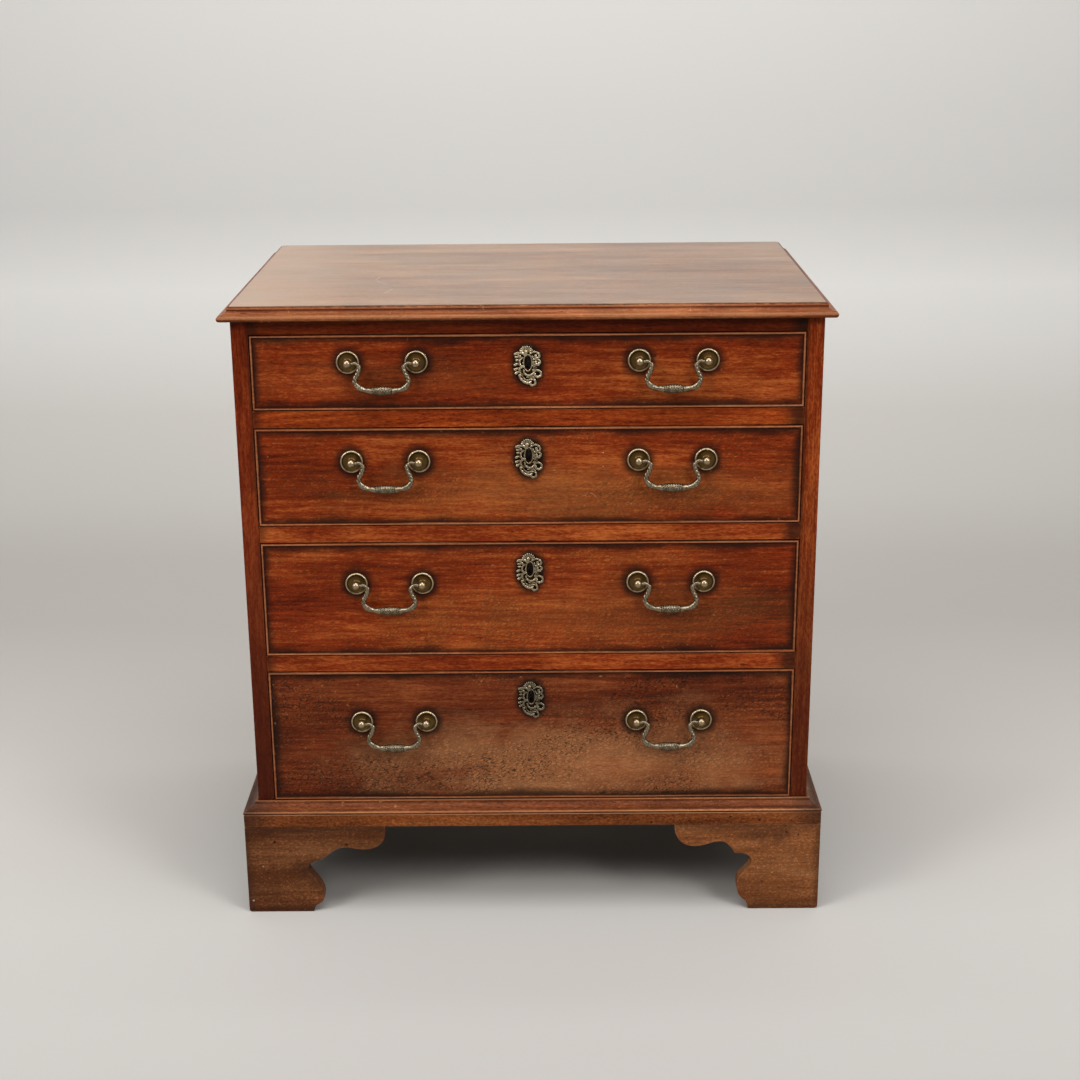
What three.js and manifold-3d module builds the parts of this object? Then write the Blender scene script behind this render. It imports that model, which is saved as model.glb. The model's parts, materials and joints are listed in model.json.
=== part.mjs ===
// A Georgian mahogany bachelor's chest: four graduated long drawers edged with cock beading,
// a moulded top, a moulded base and bracket feet. Millimetres, +Z up, the front faces -Y.
// The origin is on the floor, at the middle of the chest's outline in plan.
import * as THREE from 'three';
import { mergeVertices } from 'three/addons/utils/BufferGeometryUtils.js';
import Module from 'manifold-3d';

const wasm = await Module();
wasm.setup();

// Driving sizes of the whole chest
const caseWidth = 750;
const caseDepth = 497;
const topOverhang = 15;
const topRearOverhang = 6;
const baseProjection = 19.5;
const openingHeights = [99, 132, 158.5, 188.5];
const railHeight = 22.5;
const topRailHeight = 18;
const carcassBottomThickness = 14;

// Clearances shared by the joints between pieces
const seatGap = 0.3;
const cutOverrun = 1;

// Top board and its applied edge moulding
const topThickness = 18.5;
const topMouldingWidth = 14.5;
const topMouldingDrop = 0.8;
const topNoseRadius = 4.2;
const topQuirk = 1.2;
const topOvoloHeight = 3.4;
const topOvoloReach = 3.6;

// Carcass boards
const sideThickness = 22;
const railDepth = 52;
const dustboardThickness = 10;
const dustboardHousing = 6;
const housingSetback = 12;
const runnerWidth = 24;
const backThickness = 10;
const backRebateWidth = 12;
const backRebateGap = 0.4;
const backBoardCount = 4;
const backGrooveDepth = 2;
const backGrooveHalfWidth = 2;
const stopLength = 42;
const stopDepth = 16;
const stopHeight = 5;
const stopInset = 90;

// Base: plinth frame, base moulding and bracket feet
const footHeight = 129;
const plinthHeight = 18.5;
const plinthProjection = 18.5;
const plinthFrameWidth = 48;
const baseMouldingHeight = 14;
const baseBeadHeight = 4;
const baseFilletHeight = 1.5;
const baseTopProjection = 4;
const bracketLength = 200;
const bracketThickness = 20;
const footBaseWidth = 93;
const rearBracketLength = 120;
const rearBracketRise = 43;
const glueBlockSize = 36;
const glueBlockShortfall = 6;

// Drawer boxes
const drawerGap = 1;
const drawerFrontThickness = 20;
const drawerBackClearance = 17;
const drawerSideThickness = 10;
const drawerSideTopGap = 4;
const drawerBackThickness = 9;
const drawerBackDrop = 6;
const drawerBottomThickness = 7;
const drawerBottomRaise = 7;
const grooveDepth = 4.5;
const dovetailLap = 6;
const dovetailFlare = 3;
const dovetailEdge = 7;
const tailCounts = [3, 4, 4, 5];
const pinGap = 7;

// Cock beading round each drawer front
const beadThickness = 3.2;
const beadProud = 2;
const beadDepth = 5.4;

// Lock, its bolt and the keyhole
const keyholeDrop = 37;
const keyholeRadius = 3.3;
const keyholeSlotWidth = 3.8;
const keyholeLength = 17;
const keyholeSteps = 6;
const lockWidth = 56;
const lockHeight = 46;
const lockCaseThickness = 8;
const lockPlateMargin = 5;
const lockPlateThickness = 1.6;
const selvageDepth = 11;
const selvageThickness = 2;
const boltWidth = 18;
const boltThickness = 4.2;
const boltHeight = 20;
const boltTravel = 8;
const boltClearance = 0.35;
const mortiseClearance = 2;

// Drop handles: posts with round roses, and the swan-neck bails that swing in them
const handleOffset = 185;
const handleSpacing = 87;
const handleDropShares = [0.36, 0.337, 0.356, 0.386];
const roseRadius = 15;
const roseHeight = 3.4;
const postStandoff = 10.5;
const postNeckRadius = 3.1;
const postBallRadius = 5.4;
const postRoot = 3;
const nutRadius = 6.5;
const nutThickness = 3;
const bailPinRadius = 1.9;
const bailPinClearance = 0.45;
const bailPinReach = 1.2;
const bailDrop = 35;
const bailRodRadius = 4.1;
const postSides = 12;
const postBoreSides = 8;
const nutSides = 6;
const bailSides = 7;

// Escutcheon: a pierced scrolled cartouche
const escutcheonHeight = 54;
const escutcheonWidth = 36;
const escutcheonDrop = 3;
const escutcheonThickness = 1.6;
const escutcheonScrollRadius = 1.5;
const escutcheonRimWidth = 2.2;
const escutcheonRimHeight = 2.6;

// Sizes and levels worked out from the ones above
const halfCase = caseWidth / 2;
const chestDepth = baseProjection + caseDepth + topRearOverhang;
const caseFront = -chestDepth / 2 + baseProjection;
const caseBack = caseFront + caseDepth;
const topBack = caseBack + topRearOverhang;
const halfOpening = halfCase - sideThickness;
const plinthTop = footHeight + plinthHeight;
const caseFoot = plinthTop + seatGap;
const openingFloor = caseFoot + carcassBottomThickness;
const backFace = caseBack - backThickness;

// From the top opening down: the height at which each one's floor lies
const openingFloors = openingHeights.map(() => 0);
let level = openingFloor;
for (let i = openingHeights.length - 1; i >= 0; i -= 1) {
  openingFloors[i] = level;
  level += openingHeights[i] + railHeight;
}
const caseTop = openingFloors[0] + openingHeights[0] + topRailHeight;
const topUnderside = caseTop + seatGap;
const topSurface = topUnderside + topThickness;

// Materials
const finish = (color, roughness, metalness = 0) =>
  new THREE.MeshStandardMaterial({ color, roughness, metalness });
const mahogany = finish(0x7a3015, 0.35);
const mahoganyWorn = finish(0x9a5a34, 0.4);
const oak = finish(0xa07a4c, 0.7);
const pine = finish(0x9a7048, 0.8);
const brass = finish(0x7d6a3c, 0.4, 1);
const iron = finish(0x57534c, 0.55, 1);

// Solids and booleans
const toSolid = (geometry) => {
  const bare = geometry.clone();
  bare.deleteAttribute('normal');
  bare.deleteAttribute('uv');
  const merged = mergeVertices(bare);
  const triangles = [];
  for (let i = 0; i < merged.index.count; i += 3) {
    const [a, b, c] = merged.index.array.slice(i, i + 3);
    if (a !== b && b !== c && c !== a) triangles.push(a, b, c);
  }
  return new wasm.Manifold(new wasm.Mesh({
    numProp: 3,
    vertProperties: new Float32Array(merged.attributes.position.array),
    triVerts: new Uint32Array(triangles),
  }));
};

const toGeometry = (solid) => {
  const mesh = solid.getMesh();
  const geometry = new THREE.BufferGeometry();
  geometry.setAttribute('position', new THREE.BufferAttribute(new Float32Array(mesh.vertProperties), 3));
  geometry.setIndex(new THREE.BufferAttribute(new Uint32Array(mesh.triVerts), 1));
  const flat = geometry.toNonIndexed();
  flat.computeVertexNormals();
  return flat;
};

const join = (...parts) => toGeometry(parts.map(toSolid).reduce((a, b) => a.add(b)));
const cut = (part, ...tools) => toGeometry(tools.map(toSolid).reduce((a, b) => a.subtract(b), toSolid(part)));

// A box between two corners
const block = (x0, x1, y0, y1, z0, z1) =>
  new THREE.BoxGeometry(x1 - x0, y1 - y0, z1 - z0)
    .translate((x0 + x1) / 2, (y0 + y1) / 2, (z0 + z1) / 2);

const shapeOf = (points) => new THREE.Shape(points.map(([a, b]) => new THREE.Vector2(a, b)));

// An outline drawn in X and Z, given depth from y0 to y1
const slabXZ = (outline, y0, y1) =>
  new THREE.ExtrudeGeometry(outline, { depth: y1 - y0, bevelEnabled: false })
    .rotateX(Math.PI / 2)
    .translate(0, y1, 0);

// An outline drawn in Y and Z, given depth from x0 to x1
const slabYZ = (outline, x0, x1) =>
  new THREE.ExtrudeGeometry(outline, { depth: x1 - x0, bevelEnabled: false })
    .rotateZ(Math.PI / 2)
    .rotateY(Math.PI / 2)
    .translate(x0, 0, 0);

// A closed body through rings of points. Its cap closes both ends, and where there is no cap
// the last ring runs on into the first.
const loft = (rings, cap = []) => {
  const sides = rings[0].length;
  const last = (rings.length - 1) * sides;
  const spans = cap.length > 0 ? rings.length - 1 : rings.length;
  const faces = cap.flatMap(([a, b, c]) => [a, b, c, last + c, last + b, last + a]);
  for (let i = 0; i < spans; i += 1) {
    const here = i * sides;
    const next = ((i + 1) % rings.length) * sides;
    for (let j = 0; j < sides; j += 1) {
      const k = (j + 1) % sides;
      faces.push(here + j, next + j, next + k, here + j, next + k, here + k);
    }
  }
  const geometry = new THREE.BufferGeometry();
  const points = rings.flat().flatMap((p) => [p.x, p.y, p.z]);
  geometry.setAttribute('position', new THREE.Float32BufferAttribute(points, 3));
  geometry.setIndex(faces);
  return geometry;
};
const fanCap = (sides) => Array.from({ length: sides - 2 }, (_, i) => [0, i + 1, i + 2]);

// Runs a moulding profile of [out, up] points round corners that turn square and are mitred
const mitredRun = (profile, corners, closed) => {
  const rings = corners.map(({ x, y, outX, outY }) =>
    profile.map(([out, up]) => new THREE.Vector3(x + outX * out, y + outY * out, up)));
  const face = profile.map(([out, up]) => new THREE.Vector2(out, up));
  return loft(rings, closed ? [] : THREE.ShapeUtils.triangulateShape(face, []));
};

// Left side, front and right side of the case, as seen from above
const threeSides = (back) => [
  { x: -halfCase, y: back, outX: -1, outY: 0 },
  { x: -halfCase, y: caseFront, outX: -1, outY: -1 },
  { x: halfCase, y: caseFront, outX: 1, outY: -1 },
  { x: halfCase, y: back, outX: 1, outY: 0 },
];

const fourSides = (halfWidth, front, back) => [
  { x: -halfWidth, y: back, outX: -1, outY: 1 },
  { x: -halfWidth, y: front, outX: -1, outY: -1 },
  { x: halfWidth, y: front, outX: 1, outY: -1 },
  { x: halfWidth, y: back, outX: 1, outY: 1 },
];

// Points of an arc, from one angle to another in degrees
const arc = (cx, cy, rx, ry, from, to, steps) =>
  Array.from({ length: steps + 1 }, (_, i) => {
    const a = THREE.MathUtils.degToRad(from + (to - from) * i / steps);
    return [cx + rx * Math.cos(a), cy + ry * Math.sin(a)];
  });

const chest = new THREE.Group();
const place = (name, geometry, material, parent = chest) => {
  const mesh = new THREE.Mesh(geometry, material);
  mesh.name = name;
  parent.add(mesh);
  return mesh;
};

// Top board, set within its mitred edge moulding
const mouldingInner = topOverhang - topMouldingWidth;
const boardReach = mouldingInner - seatGap;
place('top_board', block(
  -halfCase - boardReach, halfCase + boardReach,
  caseFront - boardReach, topBack,
  topUnderside, topSurface,
), mahogany);

// Edge moulding: a small ovolo under the arris, a quirk, a hollow and a rounded nose
const topMouldingProfile = () => {
  const head = topSurface - topMouldingDrop;
  const ovoloFoot = head - topOvoloHeight;
  const quirk = mouldingInner + topOvoloReach - topQuirk;
  const noseMiddle = topOverhang - topNoseRadius;
  const hollowFoot = topUnderside + 2 * topNoseRadius;
  return [
    [mouldingInner, topUnderside],
    ...arc(noseMiddle, topUnderside + topNoseRadius, topNoseRadius, topNoseRadius, -90, 60, 5),
    ...arc(noseMiddle, ovoloFoot, noseMiddle - quirk, ovoloFoot - hollowFoot, 262, 180, 4),
    ...arc(mouldingInner, ovoloFoot, topOvoloReach, topOvoloHeight, 0, 90, 3),
  ];
};
place('top_moulding', mitredRun(topMouldingProfile(), threeSides(topBack), false), mahogany);

// Case sides: grooved for the dustboards, rebated for the back, housed for the bottom and top frame
const sideBoard = (side) => {
  const inner = side * halfOpening;
  const outer = side * halfCase;
  const behind = caseBack + cutOverrun;
  const above = caseTop + cutOverrun;
  const below = caseFoot - cutOverrun;
  const slot = (depth, y0, z0, z1) => {
    const bed = inner + side * depth;
    const mouth = inner - side * cutOverrun;
    return block(Math.min(bed, mouth), Math.max(bed, mouth), y0, behind, z0, z1);
  };
  const housing = (z0, z1) =>
    slot(dustboardHousing + seatGap, caseFront + housingSetback - seatGap, z0, z1);
  return cut(
    block(Math.min(inner, outer), Math.max(inner, outer), caseFront, caseBack, caseFoot, caseTop),
    slot(backRebateWidth + backRebateGap, backFace - seatGap, below, above),
    housing(below, openingFloor + seatGap),
    housing(caseTop - topRailHeight - seatGap, above),
    ...openingFloors.slice(0, -1).map((floor) =>
      housing(floor - dustboardThickness - seatGap, floor + seatGap)),
  );
};
place('side_left', sideBoard(-1), mahogany);
place('side_right', sideBoard(1), mahogany);

const bedHalf = halfOpening - seatGap;
const housedHalf = halfOpening + dustboardHousing;
const bedBack = backFace - 2 * seatGap;
const housedFront = caseFront + housingSetback;

// Blocks that a drawer front stops against when it is pushed home
const stopFront = caseFront + drawerFrontThickness + seatGap;
const drawerStops = (floor) => [-1, 1].map((side) => {
  const middle = side * (halfOpening - stopInset);
  return block(
    middle - stopLength / 2, middle + stopLength / 2,
    stopFront, stopFront + stopDepth,
    floor - seatGap, floor + stopHeight,
  );
});

// Pocket in the rail above a drawer, which its lock bolt rises into
const boltMortise = (ceiling) => block(
  -boltWidth / 2 - mortiseClearance, boltWidth / 2 + mortiseClearance,
  caseFront + drawerFrontThickness - lockCaseThickness - mortiseClearance,
  caseFront + drawerFrontThickness + mortiseClearance,
  ceiling - cutOverrun, ceiling + boltTravel + mortiseClearance,
);

place('carcass_bottom', join(
  block(-bedHalf, bedHalf, caseFront, bedBack, caseFoot, openingFloor),
  block(-housedHalf, housedHalf, housedFront, bedBack, caseFoot, openingFloor),
  ...drawerStops(openingFloor),
), pine);

// Each divider is a mahogany-fronted rail with its dustboard, runners and drawer stops
openingFloors.slice(0, -1).forEach((floor, i) => {
  const underside = floor - railHeight;
  const railBack = caseFront + railDepth;
  const runnerTop = floor - dustboardThickness / 2;
  const divider = join(
    block(-bedHalf, bedHalf, caseFront, railBack, underside, floor),
    block(-housedHalf, housedHalf, housedFront, bedBack, floor - dustboardThickness, floor),
    block(-bedHalf, -bedHalf + runnerWidth, railBack - cutOverrun, bedBack, underside, runnerTop),
    block(bedHalf - runnerWidth, bedHalf, railBack - cutOverrun, bedBack, underside, runnerTop),
    ...drawerStops(floor),
  );
  place(`drawer_divider_${i + 1}`, cut(divider, boltMortise(underside)), mahogany);
});

// Frame under the top: front rail, two kickers that keep the top drawer level, and a back rail
const topFrame = () => {
  const floor = caseTop - topRailHeight;
  const field = block(
    -bedHalf + runnerWidth, bedHalf - runnerWidth,
    caseFront + railDepth, bedBack - railDepth,
    floor - cutOverrun, caseTop + cutOverrun,
  );
  return cut(join(
    block(-bedHalf, bedHalf, caseFront, bedBack, floor, caseTop),
    block(-housedHalf, housedHalf, housedFront, bedBack, floor, caseTop),
  ), field, boltMortise(floor));
};
place('top_rail_frame', topFrame(), mahogany);

// Back: upright boards glued edge to edge, with a vee at each joint
const backBoards = () => {
  const half = halfOpening + backRebateWidth;
  const outline = [[-half, backFace], [half, backFace], [half, caseBack]];
  for (let i = backBoardCount - 1; i > 0; i -= 1) {
    const x = -half + 2 * half * i / backBoardCount;
    outline.push([x + backGrooveHalfWidth, caseBack]);
    outline.push([x, caseBack - backGrooveDepth]);
    outline.push([x - backGrooveHalfWidth, caseBack]);
  }
  outline.push([-half, caseBack]);
  return new THREE.ExtrudeGeometry(shapeOf(outline), { depth: caseTop - caseFoot, bevelEnabled: false })
    .translate(0, 0, caseFoot);
};
place('back_boards', backBoards(), pine);

// Base moulding on the plinth: bead, fillet and a hollow that sweeps up to the case
const baseMouldingProfile = () => {
  const foot = plinthTop + seatGap;
  const beadRadius = baseBeadHeight / 2;
  const filletTop = foot + baseBeadHeight + baseFilletHeight;
  const shoulder = baseProjection - baseBeadHeight;
  const head = foot + baseMouldingHeight;
  return [
    [seatGap, foot],
    ...arc(baseProjection - beadRadius, foot + beadRadius, beadRadius, beadRadius, -90, 90, 4),
    [shoulder, foot + baseBeadHeight],
    [shoulder, filletTop],
    ...arc(shoulder, head, shoulder - baseTopProjection, head - filletTop, 262, 188, 4),
    [baseTopProjection, head],
    [seatGap, head],
  ];
};
place('base_moulding', mitredRun(baseMouldingProfile(), threeSides(caseBack), false), mahogany);

// Plinth frame that the case stands on, mitred at all four corners
const plinthFoot = footHeight + seatGap;
place('plinth_frame', mitredRun(
  [[-plinthFrameWidth, plinthFoot], [0, plinthFoot], [0, plinthTop], [-plinthFrameWidth, plinthTop]],
  fourSides(halfCase + plinthProjection, caseFront - plinthProjection, caseBack),
  true,
), mahogany);

// Scrolled edge of a bracket, as smooth runs that meet at cusps. The front brackets were sawn by
// hand and differ. Each pair is [share of the bracket's length beyond the foot's base, which runs
// in from the corner, share of the foot's height].
const scrollRunShares = {
  left: [
    [[-0.033, 0], [-0.03, 0.056]],
    [[-0.03, 0.056], [0.093, 0.128], [0.106, 0.225], [0.04, 0.345], [-0.071, 0.479], [-0.053, 0.564],
      [0.131, 0.636], [0.215, 0.696], [0.374, 0.757], [0.636, 0.733], [0.794, 0.757], [0.903, 0.842],
      [0.93, 1]],
  ],
  right: [
    [[0.028, 0], [0.058, 0.083], [0.152, 0.167], [0.182, 0.276], [0.159, 0.374], [0.069, 0.446],
      [0.007, 0.543], [0.022, 0.616], [0.103, 0.659], [0.221, 0.664]],
    [[0.221, 0.664], [0.262, 0.725], [0.364, 0.797], [0.495, 0.791], [0.626, 0.76], [0.757, 0.748],
      [0.888, 0.783], [0.975, 0.881], [1, 1]],
  ],
};
const stepsPerKnot = 2;
const bracketOutline = (side) => {
  const reach = bracketLength - footBaseWidth;
  const runs = side < 0 ? scrollRunShares.left : scrollRunShares.right;
  const line = runs.flatMap((run, i) => {
    const knots = run.map(([u, z]) => new THREE.Vector2(footBaseWidth + u * reach, z * footHeight));
    return new THREE.SplineCurve(knots).getPoints((knots.length - 1) * stepsPerKnot).slice(i > 0 ? 1 : 0);
  });
  return [[0, 0], ...line.map(({ x, y }) => [x, y]), [0, footHeight]];
};
const rearBracketOutline = () => [
  [0, 0], [footBaseWidth, 0], [footBaseWidth, rearBracketRise],
  [rearBracketLength, footHeight], [0, footHeight],
];

// A foot stands on two brackets mitred at the corner, with a block glued in the angle
const foot = (side, rear) => {
  const outerX = side * (halfCase + plinthProjection);
  const outerY = rear ? caseBack : caseFront - plinthProjection;
  const inward = rear ? -1 : 1;
  const mirrorX = (points) => points.map(([u, z]) => [outerX - side * u, z]);
  const mirrorY = (points) => points.map(([u, z]) => [outerY + inward * u, z]);
  const faceOutline = shapeOf(mirrorX(rear ? rearBracketOutline() : bracketOutline(side)));
  const sideOutline = shapeOf(mirrorY(bracketOutline(side)));
  const faceInner = outerY + inward * bracketThickness;
  const sideInner = outerX - side * bracketThickness;
  const blockX = sideInner - side * glueBlockSize;
  const blockY = faceInner + inward * glueBlockSize;
  return join(
    slabXZ(faceOutline, Math.min(outerY, faceInner), Math.max(outerY, faceInner)),
    slabYZ(sideOutline, Math.min(outerX, sideInner), Math.max(outerX, sideInner)),
    block(
      Math.min(sideInner + side * cutOverrun, blockX), Math.max(sideInner + side * cutOverrun, blockX),
      Math.min(faceInner - inward * cutOverrun, blockY), Math.max(faceInner - inward * cutOverrun, blockY),
      glueBlockShortfall, footHeight,
    ),
  );
};
place('foot_front_left', foot(-1, false), mahogany);
place('foot_front_right', foot(1, false), mahogany);
place('foot_rear_left', foot(-1, true), mahogany);
place('foot_rear_right', foot(1, true), mahogany);

// Dovetail tails on the end of a drawer side, as [low, high] pairs at their roots
const flareLimitShare = 0.33;
const tailSpans = (low, high, count) => {
  const pitch = (high - low - 2 * dovetailEdge + pinGap) / count;
  return Array.from({ length: count }, (_, i) => {
    const start = low + dovetailEdge + i * pitch;
    return [start, start + pitch - pinGap];
  });
};
const flareOf = ([low, high]) => Math.min(dovetailFlare, flareLimitShare * Math.min(high - low, pinGap));

// Drawer sizes that several of its pieces share; y runs back from the face of the drawer front
const drawerHalf = halfOpening - drawerGap;
const drawerLength = caseDepth - backThickness - drawerBackClearance;
const tailLength = drawerFrontThickness - dovetailLap;
const sideFoot = seatGap;
const bottomFloor = sideFoot + drawerBottomRaise;
const bottomTop = bottomFloor + drawerBottomThickness;
const rootFront = drawerFrontThickness;
const rootBack = drawerLength - drawerBackThickness;

const drawerSide = (side, sideTop, spans, backSpans) => {
  const outline = [[rootFront + seatGap, sideFoot]];
  outline.push([drawerLength, sideFoot]);
  const backLow = bottomTop + seatGap;
  outline.push([drawerLength, backLow]);
  outline.push([rootBack - seatGap, backLow]);
  for (const span of backSpans) {
    const flare = flareOf(span);
    outline.push([rootBack - seatGap, span[0]], [drawerLength, span[0] - flare]);
    outline.push([drawerLength, span[1] + flare], [rootBack - seatGap, span[1]]);
  }
  outline.push([rootBack - seatGap, sideTop], [rootFront + seatGap, sideTop]);
  for (const span of [...spans].reverse()) {
    const flare = flareOf(span);
    outline.push([rootFront + seatGap, span[1]], [rootFront - tailLength + seatGap, span[1] + flare]);
    outline.push([rootFront - tailLength + seatGap, span[0] - flare], [rootFront + seatGap, span[0]]);
  }
  const outer = side * drawerHalf;
  const inner = outer - side * drawerSideThickness;
  const board = slabYZ(shapeOf(outline), Math.min(outer, inner), Math.max(outer, inner));
  const bed = inner + side * (grooveDepth + seatGap);
  const mouth = inner - side * cutOverrun;
  const groove = block(
    Math.min(bed, mouth), Math.max(bed, mouth),
    0, drawerLength + cutOverrun,
    bottomFloor - seatGap, bottomTop + seatGap,
  );
  return cut(board, groove);
};

// A tail's socket, a seat gap larger than the tail all round
const socket = (side, [low, high], flare, y0, y1, wideAtStart) => {
  const near = wideAtStart ? flare : 0;
  const far = wideAtStart ? 0 : flare;
  const outline = shapeOf([
    [y0, low - near - seatGap], [y1, low - far - seatGap],
    [y1, high + far + seatGap], [y0, high + near + seatGap],
  ]);
  const outer = side * (drawerHalf + cutOverrun);
  const inner = side * (drawerHalf - drawerSideThickness - seatGap);
  return slabYZ(outline, Math.min(outer, inner), Math.max(outer, inner));
};

// Keyhole: a round eye over a narrow slot, drawn round (0, 0) and grown by a margin
const keyholeOutline = (margin) => {
  const radius = keyholeRadius + margin;
  const half = keyholeSlotWidth / 2 + margin;
  const eye = keyholeLength / 2 - keyholeRadius;
  const foot = -keyholeLength / 2 - margin;
  const tilt = THREE.MathUtils.radToDeg(Math.acos(half / radius));
  return [[-half, foot], [half, foot], ...arc(0, eye, radius, radius, -tilt, 180 + tilt, keyholeSteps)];
};

// Handle post: a dished round rose, a neck and a ball, turned about the Y axis
const roseShares = [[1, 0.5], [0.92, 1], [0.8, 0.65], [0.3, 0.6]];
const turned = (profile, sides) =>
  new THREE.LatheGeometry(profile.map(([r, h]) => new THREE.Vector2(r, -h)).reverse(), sides);
const post = (x, z, boreSide) => {
  const neckAngle = THREE.MathUtils.radToDeg(Math.acos(postNeckRadius / postBallRadius));
  const ball = arc(0, postStandoff, postBallRadius, postBallRadius, -neckAngle, 90, 3).slice(0, -1);
  const profile = [
    [0, -postRoot],
    [roseRadius, -postRoot],
    ...roseShares.map(([r, h]) => [r * roseRadius, h * roseHeight]),
    ...ball,
    [0, postStandoff + postBallRadius],
  ];
  const body = turned(profile, postSides);
  const boreLength = postBallRadius + cutOverrun;
  const bore = new THREE.CylinderGeometry(
    bailPinRadius + bailPinClearance, bailPinRadius + bailPinClearance, boreLength, postBoreSides,
  ).rotateZ(Math.PI / 2).translate(boreSide * boreLength / 2, -postStandoff, 0);
  return cut(body, bore).translate(x, 0, z);
};
const nut = (x, z) => new THREE.CylinderGeometry(nutRadius, nutRadius, nutThickness + cutOverrun, nutSides)
  .translate(x, drawerFrontThickness + (nutThickness - cutOverrun) / 2, z);

const handlePosts = (z) => [-1, 1].flatMap((hand) => [-1, 1].flatMap((end) => {
  const x = hand * handleOffset + end * handleSpacing / 2;
  return [post(x, z, -end), nut(x, z)];
}));

const drawerFront = (frontFoot, frontTop, spans, handleLevel) => {
  const face = drawerHalf - beadThickness - seatGap;
  const edge = beadThickness + seatGap;
  const board = join(
    block(-face, face, 0, drawerFrontThickness, frontFoot + edge, frontTop - edge),
    block(-drawerHalf, drawerHalf, beadDepth + seatGap, drawerFrontThickness, frontFoot, frontTop),
    ...handlePosts(handleLevel),
  );
  const keyLevel = frontTop - keyholeDrop;
  const tools = [-1, 1].flatMap((side) => spans.map((span) =>
    socket(side, span, flareOf(span), rootFront - tailLength, rootFront + cutOverrun, true)));
  tools.push(block(
    -drawerHalf + drawerSideThickness - grooveDepth, drawerHalf - drawerSideThickness + grooveDepth,
    drawerFrontThickness - grooveDepth - seatGap, drawerFrontThickness + cutOverrun,
    bottomFloor - seatGap, bottomTop + seatGap,
  ));
  tools.push(slabXZ(shapeOf(keyholeOutline(0)), -cutOverrun, drawerFrontThickness + cutOverrun)
    .translate(0, 0, keyLevel));
  tools.push(...lockRecess(frontTop));
  return cut(board, ...tools);
};

// Lock: an iron case let into the back of the front, with a selvage on its top edge
const lockBack = drawerFrontThickness;
const lockCaseFront = lockBack - lockCaseThickness;
const lockRecess = (frontTop) => [
  block(
    -lockWidth / 2 - seatGap, lockWidth / 2 + seatGap,
    lockCaseFront - seatGap, lockBack + cutOverrun,
    frontTop - lockHeight - seatGap, frontTop + cutOverrun,
  ),
  block(
    -lockWidth / 2 - lockPlateMargin - seatGap, lockWidth / 2 + lockPlateMargin + seatGap,
    lockBack - selvageDepth - seatGap, lockBack + cutOverrun,
    frontTop - selvageThickness - seatGap, frontTop + cutOverrun,
  ),
];
const lock = (frontTop) => {
  const half = lockWidth / 2;
  const wide = half + lockPlateMargin;
  const plateFront = lockBack + seatGap;
  const plateBack = plateFront + lockPlateThickness;
  const caseFloor = frontTop - lockHeight;
  const body = join(
    block(-half, half, lockCaseFront, plateFront + cutOverrun, caseFloor, frontTop - cutOverrun),
    block(-wide, wide, plateFront, plateBack, caseFloor - lockPlateMargin, frontTop),
    block(-wide, wide, lockBack - selvageDepth, plateBack, frontTop - selvageThickness, frontTop),
  );
  const boltMiddle = (lockCaseFront + lockBack) / 2;
  const channel = block(
    -boltWidth / 2 - boltClearance, boltWidth / 2 + boltClearance,
    boltMiddle - boltThickness / 2 - boltClearance, boltMiddle + boltThickness / 2 + boltClearance,
    frontTop - boltHeight - boltClearance, frontTop + cutOverrun,
  );
  const keyway = slabXZ(shapeOf(keyholeOutline(0)), lockCaseFront - cutOverrun, boltMiddle)
    .translate(0, 0, frontTop - keyholeDrop);
  return cut(body, channel, keyway);
};
const lockBolt = (frontTop) => {
  const boltMiddle = (lockCaseFront + lockBack) / 2;
  return block(
    -boltWidth / 2, boltWidth / 2,
    boltMiddle - boltThickness / 2, boltMiddle + boltThickness / 2,
    frontTop - boltHeight, frontTop,
  );
};

// Cock bead: a mitred strip let in round the front, its proud edge rounded
const cockBead = (frontFoot, frontTop) => {
  const half = beadThickness / 2;
  const profile = [
    [-beadThickness, -beadDepth],
    [0, -beadDepth],
    ...arc(-half, beadProud - half, half, half, 0, 180, 4),
  ];
  const corners = fourSides(drawerHalf, frontFoot, frontTop);
  return mitredRun(profile, corners, true).rotateX(Math.PI / 2);
};

// Bail: rows are [share of half the spacing, share of the drop, share of the rod's radius]
const bailLineShares = [
  [0.86, 0, 0.464], [0.79, -0.02, 0.6], [0.71, 0.02, 0.72], [0.647, 0.14, 0.8],
  [0.69, 0.35, 0.82], [0.765, 0.54, 0.95], [0.77, 0.72, 1.03], [0.61, 0.935, 0.94],
  [0.335, 1, 0.98], [0.285, 1, 1.22], [0, 1, 1.42],
];
const bail = () => {
  const half = handleSpacing / 2;
  const pin = [half - bailPinReach, 0, bailPinRadius];
  const right = [pin, ...bailLineShares.map(([u, d, r]) => [u * half, -d * bailDrop, r * bailRodRadius])];
  const left = right.slice(0, -1).map(([x, z, r]) => [-x, z, r]);
  const line = [...left, ...right.reverse()];
  const rings = line.map(([x, z, r], i) => {
    const [ax, az] = line[Math.max(i - 1, 0)];
    const [bx, bz] = line[Math.min(i + 1, line.length - 1)];
    const along = new THREE.Vector3(bx - ax, 0, bz - az).normalize();
    const across = new THREE.Vector3(-along.z, 0, along.x);
    return Array.from({ length: bailSides }, (_, j) => {
      const a = 2 * Math.PI * j / bailSides;
      return new THREE.Vector3(x, 0, z)
        .addScaledVector(across, r * Math.cos(a))
        .add(new THREE.Vector3(0, r * Math.sin(a), 0));
    });
  });
  return loft(rings, fanCap(bailSides));
};

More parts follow.
